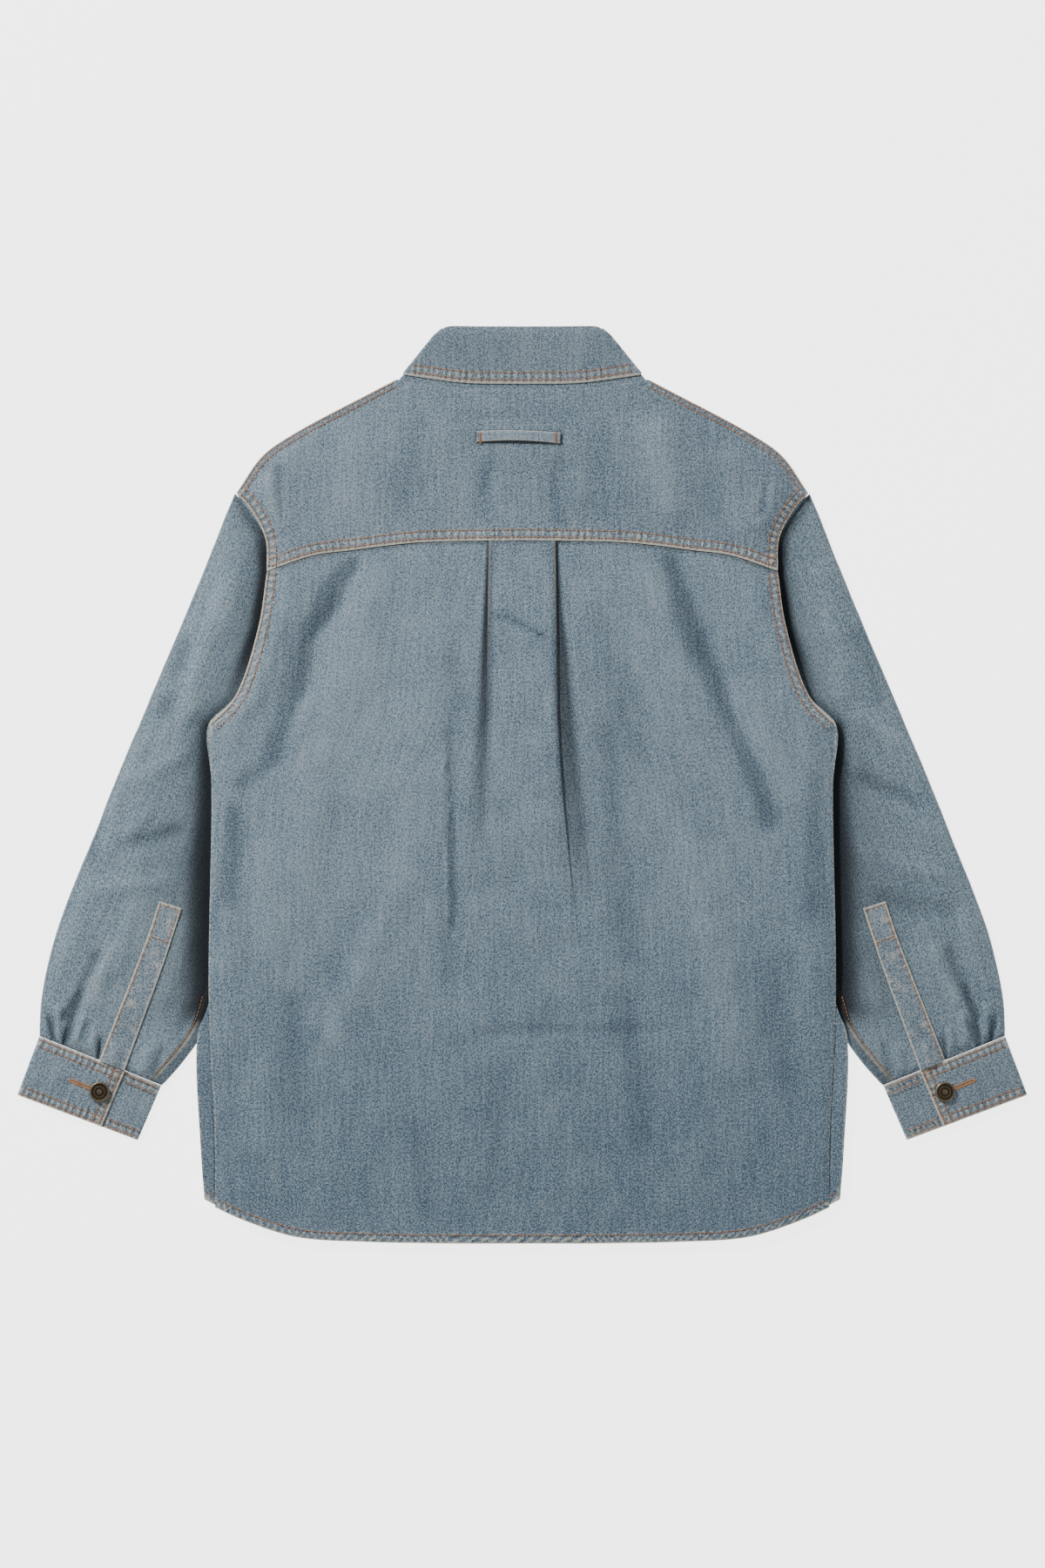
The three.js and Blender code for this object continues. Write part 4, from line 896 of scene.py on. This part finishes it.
def collar_layer(name, start, end, level, inset, seams, top_roll=0.0, dark=0.0):
    """One layer of the collar from its start line to its end line: behind the neck, round a side, then in front."""
    downs = np.linspace(inset, 1, 30)
    count = len(downs)
    spread = 0.3 + 0.7 * smooth(downs, 0, 0.2)[:, None] * np.array([1, 1, 0.0]) + np.array([0, 0, 0.7])
    radius = (level[0] - level[1]) / 2
    middle_level = (level[0] + level[1]) / 2
    rows, facings, shares = [], [], []

    def flat_rows(outline, samples, height, facing):
        first, last = line_through(outline[start]), line_through(outline[end])
        for t in np.linspace(0, 1, samples):
            place = first(t) + (last(t) - first(t)) * downs[:, None]
            rows.append(np.column_stack([place, np.full(count, height)]))
            facings.append(np.tile([0, 0, facing], (count, 1)))
            shares.append(max(0.0, facing))

    flat_rows(COLLAR_BACK, 60, level[0], 1.0)
    slope = np.array(COLLAR_BACK["edge"][-1], float) - np.array(COLLAR_BACK["fold"][-1], float)
    slope /= np.linalg.norm(slope)
    side = rows[-1][:, :2]
    for angle in np.radians(np.linspace(90, -90, 10)[1:-1]):
        facing = np.array([-slope[1] * cos(angle), slope[0] * cos(angle), sin(angle)])
        rows.append(np.column_stack([side, np.full(count, middle_level)]) + facing * radius * spread)
        facings.append(np.tile(facing, (count, 1)))
        shares.append(max(0.0, sin(angle)))
    flat_rows(COLLAR_FRONT, 50, level[1], -1.0)

    mirror = np.array([-1.0, 1, 1])
    middle, normal, back = np.array(rows), np.array(facings), np.array(shares)
    middle = np.concatenate([middle[:0:-1] * mirror, middle])
    normal = np.concatenate([normal[:0:-1] * mirror, normal])
    back = np.concatenate([back[:0:-1], back])[:, None]
    height, wear_and_painted_shade = apply_seams(seams, middle[..., 0], middle[..., 1])
    roll = top_roll * np.exp(-(downs / 0.1) ** 2)[None, :] * back
    raised = [0, 0, 1.0]
    outer = middle + normal * CLOTH / 2 + (height * back - roll)[..., None] * raised
    inner = middle - normal * CLOTH / 2 - (roll * 0.2)[..., None] * raised
    grain = np.stack([middle[..., 0], np.broadcast_to(-downs[None, :] * 52, wear_and_painted_shade.shape)], -1)
    return Cloth(name, outer, inner, grain, wear_and_painted_shade * np.clip(back, 0.2, 1), painted_shadow_and_dark_tone=np.full(wear_and_painted_shade.shape, dark))


# Thread, laid stitch by stitch along a seam and seated on its cloth

def stitch_shape():
    """One stitch as a rounded bar, 1 long and 1 wide, lying along X."""
    stations = [(-0.5, 0.25), (-0.38, 0.72), (0.0, 1.0), (0.38, 0.72), (0.5, 0.25)]
    around = 6
    points = []
    for x, swell in stations:
        for k in range(around):
            angle = 2 * pi * k / around
            points.append((x, 0.5 * swell * cos(angle), 0.5 * swell * sin(angle)))
    points += [(-0.56, 0, 0), (0.56, 0, 0)]
    faces = []
    for s in range(len(stations) - 1):
        for k in range(around):
            a, b = s * around + k, s * around + (k + 1) % around
            faces.append((a, a + around, b + around))
            faces.append((a, b + around, b))
    ends = len(stations) * around
    last = ends - around
    for k in range(around):
        faces.append((ends, k, (k + 1) % around))
        faces.append((ends + 1, last + (k + 1) % around, last + k))
    return np.array(points), np.array(faces)


STITCH_POINTS, STITCH_FACES = stitch_shape()


class Thread:
    def __init__(self, name, material, slot):
        self.name = name
        self.material = material
        self.slot = slot
        self.points = []
        self.faces = []
        self.count = 0

    def lay(self, centre, along, normal, length, width):
        along = np.asarray(along, float) / np.linalg.norm(along)
        normal = np.asarray(normal, float)
        side = np.cross(normal, along)
        side /= np.linalg.norm(side)
        up = np.cross(along, side)
        shape = (STITCH_POINTS[:, :1] * along * length + STITCH_POINTS[:, 1:2] * side * width
                 + STITCH_POINTS[:, 2:3] * up * width * 0.75)
        self.points.append(shape + np.asarray(centre, float))
        self.faces.append(STITCH_FACES + self.count)
        self.count += len(STITCH_POINTS)

    def row(self, cloth, line, inset, toward, start=0.0, stop=1.0, sign=1, width=1.3, seed=0, upper=None):
        """Stitches along a line, moved inward from it, on the outer face of a cloth."""
        rng = np.random.default_rng(seed)
        t = np.linspace(start, stop, 500)
        points = line(t)
        tangent = np.gradient(points, axis=0)
        tangent /= np.linalg.norm(tangent, axis=1, keepdims=True)
        normal = np.stack([-tangent[:, 1], tangent[:, 0]], -1)
        if ((np.asarray(toward) - points[250]) @ normal[250]) < 0:
            normal = -normal
        moved = points + normal * inset
        along = np.concatenate([[0], np.cumsum(np.linalg.norm(np.diff(moved, axis=0), axis=1))])
        count = max(2, int(along[-1] / STITCH_PITCH))
        places = (np.arange(count) + 0.5) * along[-1] / count
        x = np.interp(places, along, moved[:, 0]) * sign
        y = np.interp(places, along, moved[:, 1])
        dx = np.interp(places, along, tangent[:, 0]) * sign
        dy = np.interp(places, along, tangent[:, 1])
        seats = cloth.seat(list(zip(x, y)), upper)
        for (place, face), tx, ty in zip(seats, dx, dy):
            direction = np.array([tx, ty, 0.0])
            direction[2] = -(face[0] * tx + face[1] * ty) / max(face[2], 0.3)
            centre = np.array(place) + face * (width * 0.2 - STITCH_SINK)
            centre[:2] += rng.uniform(-0.1, 0.1, 2)
            self.lay(centre, direction, face, along[-1] / count * rng.uniform(0.74, 0.86), width)

    def finish(self):
        thing = object_from(self.name, np.vstack(self.points), np.vstack(self.faces), 80.0)
        thing.data.materials.append(self.material)
        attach(thing, "root")


# Materials

class Nodes:
    """A new material, with short ways to add to its node tree."""

    def __init__(self, name):
        self.material = bpy.data.materials.new(name)
        self.material.use_nodes = True
        self.tree = self.material.node_tree
        self.shader = self.tree.nodes["Principled BSDF"]

    def add(self, kind, **values):
        node = self.tree.nodes.new(kind)
        for key, value in values.items():
            setattr(node, key, value)
        return node

    def set(self, socket, value):
        """A link from another node's output, a number or a colour."""
        if hasattr(value, "is_output"):
            self.tree.links.new(value, socket)
        elif isinstance(value, (int, float)):
            socket.default_value = value
        else:
            socket.default_value = (*value, 1.0) if socket.type == "RGBA" else value

    def fill(self, node, **values):
        for key, value in values.items():
            self.set(node.inputs[key.replace("_", " ")], value)
        return node

    def mixed(self, kind, factor, a, b):
        node = self.add("ShaderNodeMix", data_type="RGBA", blend_type=kind)
        for index, value in ((0, factor), (6, a), (7, b)):
            self.set(node.inputs[index], value)
        return node.outputs[2]

    def math(self, operation, a, b=0.0, clamp=False):
        node = self.add("ShaderNodeMath", operation=operation, use_clamp=clamp)
        self.set(node.inputs[0], a)
        self.set(node.inputs[1], b)
        return node.outputs[0]

    def plus(self, total, value, weight):
        return self.math("ADD", total, self.math("MULTIPLY", value, weight))

    def noise(self, vector, scale, detail, rough=0.5, distort=0.0):
        return self.fill(self.add("ShaderNodeTexNoise"), Vector=vector, Scale=scale, Detail=detail, Roughness=rough,
                         Distortion=distort).outputs["Fac"]

    def object_place(self):
        return self.add("ShaderNodeTexCoord").outputs["Object"]

    def ramp(self, value, low, high):
        node = self.add("ShaderNodeMapRange", interpolation_type="SMOOTHSTEP")
        return self.fill(node, Value=value, From_Min=low, From_Max=high).outputs["Result"]


def denim(name, pale, deep):
    """Washed twill: worm-like blue and grey-white mottling, slubs along the warp and worn seam edges, with painted
    shade and painted shadow from the cloth's fields.
    """
    nodes = Nodes(name)
    grain = nodes.add("ShaderNodeAttribute", attribute_name="grain").outputs["Vector"]
    wear_and_painted_shade, painted_shade_and_tone, painted_shadow_and_dark_tone = [nodes.add("ShaderNodeAttribute", attribute_name=field).outputs["Fac"]
                         for field in ("wear_and_painted_shade", "painted_shade_and_tone", "painted_shadow_and_dark_tone")]

    def speckle(scale, stretch, detail, rough, low, high, distort=0.0):
        place = nodes.fill(nodes.add("ShaderNodeMapping"), Vector=grain, Scale=(1.0, stretch, 1.0)).outputs["Vector"]
        return nodes.ramp(nodes.noise(place, scale, detail, rough, distort), low, high)

    worms = speckle(700, 0.8, 2.0, 0.55, 0.42, 0.59, 0.6)
    flecks = speckle(1200, 0.7, 1.0, 0.5, 0.44, 0.57)
    slubs = speckle(420, 0.05, 2.0, 0.5, 0.34, 0.68)
    patches = speckle(30, 0.5, 5.0, 0.6, 0.3, 0.72)
    wave = nodes.add("ShaderNodeTexWave", wave_type="BANDS", bands_direction="DIAGONAL")
    twill = nodes.fill(wave, Vector=grain, Scale=330.0, Distortion=1.6, Detail=1.0).outputs["Fac"]
    blend = nodes.math("MULTIPLY", worms, 0.5)
    # The shade field is painted shade: it deepens the blue in this blend and dims the cloth below.
    for value, weight in ((flecks, 0.42), (slubs, 0.16), (patches, 0.12), (twill, 0.08), (painted_shade_and_tone, -0.75)):
        blend = nodes.plus(blend, value, weight)
    cloth = nodes.mixed("MIX", nodes.math("SUBTRACT", blend, 0.105, True), deep, pale)
    with_painted_shade = nodes.mixed("MULTIPLY", nodes.math("MULTIPLY", painted_shade_and_tone, 0.8, True), cloth, (0.42, 0.45, 0.5))
    worn = nodes.ramp(nodes.plus(wear_and_painted_shade, worms, 0.22), 0.22, 1.0)
    bleached = nodes.mixed("MIX", nodes.math("MULTIPLY", worn, 0.8), with_painted_shade, (0.56, 0.53, 0.44))
    # Negative wear is painted shade: it darkens stitch rows, pucker troughs, the loop's middle and the line above the
    # cuff seam.
    dark = nodes.ramp(nodes.math("MULTIPLY", wear_and_painted_shade, -1.0), 0.04, 0.3)
    darkened_by_painted_shade = nodes.mixed("MULTIPLY", nodes.math("MULTIPLY", dark, 0.8), bleached, (0.5, 0.52, 0.56))
    # Painted shadow darkens the colour towards near-black.
    colour = nodes.mixed("MULTIPLY", nodes.math("ADD", painted_shadow_and_dark_tone, 0.0, True), darkened_by_painted_shade, (0.035, 0.04, 0.05))
    height = nodes.plus(nodes.plus(nodes.math("MULTIPLY", worms, 0.5), twill, 0.5), slubs, 0.5)
    bump = nodes.fill(nodes.add("ShaderNodeBump"), Height=height, Strength=0.55, Distance=0.00035)
    nodes.fill(nodes.shader, Base_Color=colour, Roughness=0.92, Specular_IOR_Level=0.2, Sheen_Weight=0.12,
               Sheen_Roughness=0.6, Normal=bump.outputs["Normal"])
    return nodes.material


def thread_material(name, colour, shadow):
    nodes = Nodes(name)
    tone = nodes.noise(nodes.object_place(), 90.0, 3.0)
    nodes.fill(nodes.shader, Base_Color=nodes.mixed("MIX", tone, shadow, colour), Roughness=0.6, Sheen_Weight=0.2)
    return nodes.material


def metal_material(name):
    nodes = Nodes(name)
    tone = nodes.noise(nodes.object_place(), 700.0, 4.0)
    raised = nodes.add("ShaderNodeNewGeometry").outputs["Pointiness"]
    worn = nodes.fill(nodes.add("ShaderNodeMapRange"), Value=raised, From_Min=0.46, From_Max=0.56)
    rough = nodes.fill(nodes.add("ShaderNodeMapRange"), Value=tone, To_Min=0.32, To_Max=0.55)
    base = nodes.mixed("MIX", tone, (0.022, 0.017, 0.012), (0.075, 0.056, 0.036))
    colour = nodes.mixed("MIX", worn.outputs["Result"], base, (0.2, 0.155, 0.1))
    nodes.fill(nodes.shader, Base_Color=colour, Metallic=0.85, Roughness=rough.outputs["Result"])
    return nodes.material


# Buttons: an edge rim, a sunken ring with fine ribs and a plain raised middle

def make_button(name, centre, height, down=False):
    shares = [(0.9, 0), (0.985, 0.2), (1, 0.5), (0.97, 0.85), (0.9, 1), (0.82, 0.96), (0.78, 0.72), (0.6, 0.66),
              (0.56, 0.86), (0.5, 0.9), (0.46, 0.68), (0.3, 0.7), (0.26, 0.88), (0.12, 0.94)]
    around = 64
    points, faces = [(0, 0, 0)], []
    for i, (r, z) in enumerate(shares):
        for k in range(around):
            angle = 2 * pi * k / around
            rib = 0.05 if 6 <= i <= 8 and k % 2 else 0.0
            points.append((BUTTON_RADIUS * r * cos(angle), BUTTON_RADIUS * r * sin(angle), height * (z + rib)))
    points.append((0, 0, height * 0.95))
    for i in range(len(shares) - 1):
        for k in range(around):
            a, b = 1 + i * around + k, 1 + i * around + (k + 1) % around
            faces.append((a, b, b + around, a + around))
    tail = len(points) - 1
    last = tail - around
    faces += [(0, 1 + (k + 1) % around, 1 + k) for k in range(around)]
    faces += [(tail, last + k, last + (k + 1) % around) for k in range(around)]
    points = np.array(points) * ([1, -1, -1] if down else [1, 1, 1])
    mesh = bpy.data.meshes.new(name)
    mesh.from_pydata([tuple(p) for p in (points + np.array(centre)) * MM], [], faces)
    mesh.shade_smooth()
    mesh.set_sharp_from_angle(angle=radians(40))
    thing = bpy.data.objects.new(name, mesh)
    bpy.context.scene.collection.objects.link(thing)
    thing.data.materials.append(brass)
    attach(thing, "root")
    return thing


body_denim = denim("washed_denim", (0.315, 0.385, 0.43), (0.034, 0.078, 0.125))
trim_denim = denim("washed_denim_trim", (0.30, 0.36, 0.40), (0.032, 0.072, 0.115))
sleeve_denim = denim("washed_denim_sleeve", (0.325, 0.395, 0.435), (0.036, 0.082, 0.13))
orange = thread_material("topstitch_thread", (0.42, 0.17, 0.05), (0.19, 0.072, 0.022))
tan = thread_material("buttonhole_thread", (0.55, 0.24, 0.06), (0.26, 0.10, 0.03))
brass = metal_material("antique_brass")


def dress(cloth, material, node):
    cloth.piece.data.materials.append(material)
    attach(cloth.piece, "root")
    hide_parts(node)


yoke = make_yoke()
back = make_back()
dress(yoke, trim_denim, "back_yoke")
dress(back, body_denim, "back_panel")
placket = make_placket_front()
dress(placket, trim_denim, "front_placket")
fall_seams = [Seam(whole_line(line_through(COLLAR_BACK["edge"])), COLLAR_ROWS, 10.8, 0.4, 0.5, seed=41, edge=2.2),
              Seam(whole_line(line_through(COLLAR_BACK["fold"])), (), 1.0, 0.0, 0.12, wear_and_painted_shade=0.35, seed=42)]
# The fall is evenly darker; the stand under it gets painted shade.
fall = collar_layer("collar_fall_cloth", "fold", "edge", FALL_LEVEL, 0.0, fall_seams, top_roll=1.6, dark=0.16)
stand = collar_layer("collar_stand_cloth", "fold", "seam", STAND_LEVEL, 0.03, [], dark=0.22)
dress(fall, trim_denim, "collar_fall")
dress(stand, body_denim, "collar_stand")
sides = {}
for side, sign, folds, seed in (("left", -1, LEFT_SLEEVE_FOLDS, 51), ("right", 1, RIGHT_SLEEVE_FOLDS, 71)):
    front = make_front(side, sign)
    dress(front, body_denim, f"front_{side}")
    sleeve = make_sleeve(side, sign, folds, seed)
    dress(sleeve, sleeve_denim, f"sleeve_{side}")
    strip, strip_lines, strip_box = make_sleeve_placket(side, sign, folds, seed)
    dress(strip, trim_denim, f"sleeve_placket_{side}")
    cuff, cuff_lines = make_cuff(side, sign, seed)
    dress(cuff, trim_denim, f"cuff_{side}")
    seat_x, seat_y = cuff_place(*CUFF_BUTTON)
    button = make_button(f"cuff_button_face_{side}", (sign * seat_x, seat_y, 7.0), 3.0)
    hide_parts(f"cuff_button_{side}")
    sides[sign] = (front, sleeve, strip, strip_lines, strip_box, cuff, cuff_lines)

for i in range(FRONT_BUTTONS["count"]):
    place = (0, FRONT_BUTTONS["top"] - FRONT_BUTTONS["pitch"] * i, 1.5)
    button = make_button(f"front_button_face_{i + 1}", place, 1.5, down=True)
    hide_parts(f"front_button_{i + 1}")


# Locker loop: a folded strip tacked at both ends

def make_loop():
    length, width = LOOP["length"], LOOP["width"]
    t = np.linspace(0, 1, 60)[:, None]
    s = np.linspace(0, 1, 11)[None, :]
    x = LOOP["x"] + (t - 0.5) * length + 0 * s
    waist = 1 - 0.08 * np.sin(pi * t)
    y = LOOP["y"] + (s - 0.5) * width * waist - 1.6 * (2 * t - 1) ** 2 + 1.2 - 1.5 * (t - 0.5)
    base = yoke_underside(x, y) + YOKE_WALL + 0.6 + 1.6 * np.sin(pi * t) ** 0.8 + 0 * s
    from_edge = (0.5 - np.abs(s - 0.5)) * width
    groove = -0.35 * np.exp(-((s - 0.5) * width / 0.8) ** 2) - 0.4 * np.exp(-(from_edge / 0.9) ** 2)
    tack = -0.5 * np.exp(-((np.minimum(t, 1 - t) * length - 4) / 1.6) ** 2)
    outer = np.stack([x, y, base + 1.6 + groove + tack], -1)
    inner = np.stack([x, y, base], -1)
    # Bleached worn edges with a slightly darker middle as painted shade; the last argument makes the whole loop a
    # paler, lighter tone.
    wear_and_painted_shade = 0.9 * (np.exp(-(from_edge / 1.0) ** 2) + 0 * t) - 0.12
    return Cloth("loop_cloth", outer, inner, np.stack([x, y], -1), wear_and_painted_shade, np.full(x.shape, -0.25))


loop = make_loop()
dress(loop, trim_denim, "locker_loop")


# Topstitching and buttonholes

topstitch = Thread("topstitching", orange, "denim_trim")
buttonholes = Thread("buttonhole_stitching", tan, "denim_trim")


def sew_body():
    for seed, inset in enumerate(YOKE_ROWS):
        topstitch.row(yoke, whole_line(yoke_seam_line), inset, (0, 300), start=0.01, stop=0.99, seed=seed + 1)
    for sign in (-1, 1):
        for inset in SHOULDER_ROWS:
            topstitch.row(yoke, shoulder_line, inset, (100, 250), start=0.02, stop=0.97, sign=sign, seed=5 + sign)
        for seed, inset in enumerate(ARMHOLE_ROWS):
            topstitch.row(yoke, yoke_armhole_line, inset, (100, 240), start=0.04, stop=0.96, sign=sign, seed=seed + 13)
            topstitch.row(back, back_armhole_line, inset, (100, 120), stop=0.985, sign=sign, seed=seed + 23)
    topstitch.row(back, whole_line(back_hem_line), HEM_ROW, (0, -200), start=0.004, stop=0.996, seed=30)
    for inset in COLLAR_ROWS:
        topstitch.row(fall, whole_line(line_through(COLLAR_BACK["edge"])), inset, (0, 400), 0.03, 0.97, seed=31)


def sew_cuff(cuff, lines, sign):
    middle = cuff_place(0.3, 0.5)
    upper = CUFF_SEWN_COLUMNS
    for inset in CUFF_ROWS:
        for name in ("seam", "edge"):
            topstitch.row(cuff, lines[name], inset, middle, start=0.03, stop=0.69, sign=sign, seed=43, upper=upper)
            topstitch.row(cuff, lines[name], inset, middle, start=0.72, stop=0.97, sign=sign, seed=44, upper=upper)
        topstitch.row(cuff, lines["lap"], inset + 0.4, middle, start=0.04, stop=0.96, sign=sign, seed=45, upper=upper)


def sew_buttonhole(cuff, sign):
    """Close stitches along both sides of a slot that ends under the button, and round its other end."""
    start, stop = cuff_place(*BUTTONHOLE_START), cuff_place(*CUFF_BUTTON)
    axis = (stop - start) / np.linalg.norm(stop - start)
    cross = np.array([-axis[1], axis[0]])
    stitches = [(start + axis * (0.62 * k) + cross * wing * 1.15, cross, 1.7) for k in range(30) for wing in (-1, 1)]
    for angle in np.linspace(pi / 2, 3 * pi / 2, 9):
        ray = axis * cos(angle) + cross * sin(angle)
        stitches.append((start + ray * 1.3, ray, 1.8))
    for place, direction, length in stitches:
        (centre, face), = cuff.seat([(sign * place[0], place[1])], CUFF_SEWN_COLUMNS)
        buttonholes.lay(np.array(centre) + face * 0.25, (sign * direction[0], direction[1], 0.0), face, length, 0.75)


def sew_side(sign):
    front, sleeve, strip, strip_lines, strip_box, cuff, cuff_lines = sides[sign]
    topstitch.row(front, front_hem_line, HEM_ROW, (100, -200), start=0.93, stop=0.998, sign=sign, seed=40)
    topstitch.row(sleeve, underarm_line, 1.8, (400, -150), start=0.4, stop=0.97, sign=sign, seed=46, width=0.9,
                  upper=SLEEVE_TOP_COLUMNS)
    for line, stop in zip(strip_lines, (0.98, 0.24, 0.98)):
        topstitch.row(strip, line, STRIP_ROW, (339, -165), start=0.02, stop=stop, sign=sign, seed=41, width=1.0)
    topstitch.row(strip, strip_box, 0.0, (0, 0), start=0.08, stop=0.92, sign=sign, seed=42, width=1.1)
    sew_cuff(cuff, cuff_lines, sign)
    sew_buttonhole(cuff, sign)


def sew_loop():
    for end in (-1, 1):
        for k in range(12):
            (centre, face), = loop.seat([(LOOP["x"] + end * 34.0, LOOP["y"] - 5.6 + 0.8 * k)])
            topstitch.lay(np.array(centre) + face * 0.2, (1, 0.15 * (-1) ** k, 0), face, 2.2, 0.8)


sew_body()
sew_side(-1)
sew_side(1)
sew_loop()
topstitch.finish()
buttonholes.finish()


# Floor, light and camera

def make_stage():
    mesh = bpy.data.meshes.new("floor")
    mesh.from_pydata([(-3, -3, -0.0006), (3, -3, -0.0006), (3, 3, -0.0006), (-3, 3, -0.0006)], [], [(0, 1, 2, 3)])
    floor = bpy.data.objects.new("floor", mesh)
    bpy.context.scene.collection.objects.link(floor)
    nodes = Nodes("plain_floor")
    tone = nodes.noise(nodes.object_place(), 3.0, 2.0)
    nodes.fill(nodes.shader, Base_Color=nodes.mixed("MIX", tone, (0.5, 0.5, 0.5), (0.51, 0.51, 0.51)), Roughness=1.0,
               Emission_Color=(1.0, 1.0, 1.0), Emission_Strength=3.45, Specular_IOR_Level=0.0)
    floor.data.materials.append(nodes.material)


def make_panel(name, power, place, size):
    data = bpy.data.lights.new(name, "AREA")
    data.energy = power
    data.shape = "DISK"
    data.size = size
    light = bpy.data.objects.new(name, data)
    light.location = place
    light.rotation_euler = (-Vector(place)).to_track_quat("-Z", "Y").to_euler()
    bpy.context.scene.collection.objects.link(light)


def make_camera():
    frame_height = PICTURE_ROWS * MM_A_PIXEL * MM
    distance = 6.0
    data = bpy.data.cameras.new("camera")
    data.sensor_fit = "VERTICAL"
    data.sensor_height = 36.0
    data.lens = data.sensor_height * distance / frame_height
    camera = bpy.data.objects.new("camera", data)
    camera.location = (0.0002, 0.0008, distance)
    bpy.context.scene.collection.objects.link(camera)
    bpy.context.scene.camera = camera


make_stage()
make_panel("key", 185, (-2.1, 2.3, 2.2), 0.6)
make_panel("fill", 18, (2.2, -0.6, 2.6), 1.2)
world = bpy.data.worlds.new("studio")
world.use_nodes = True
world.node_tree.nodes["Background"].inputs["Color"].default_value = (1.0, 1.0, 1.0, 1.0)
world.node_tree.nodes["Background"].inputs["Strength"].default_value = 0.34
bpy.context.scene.world = world
make_camera()
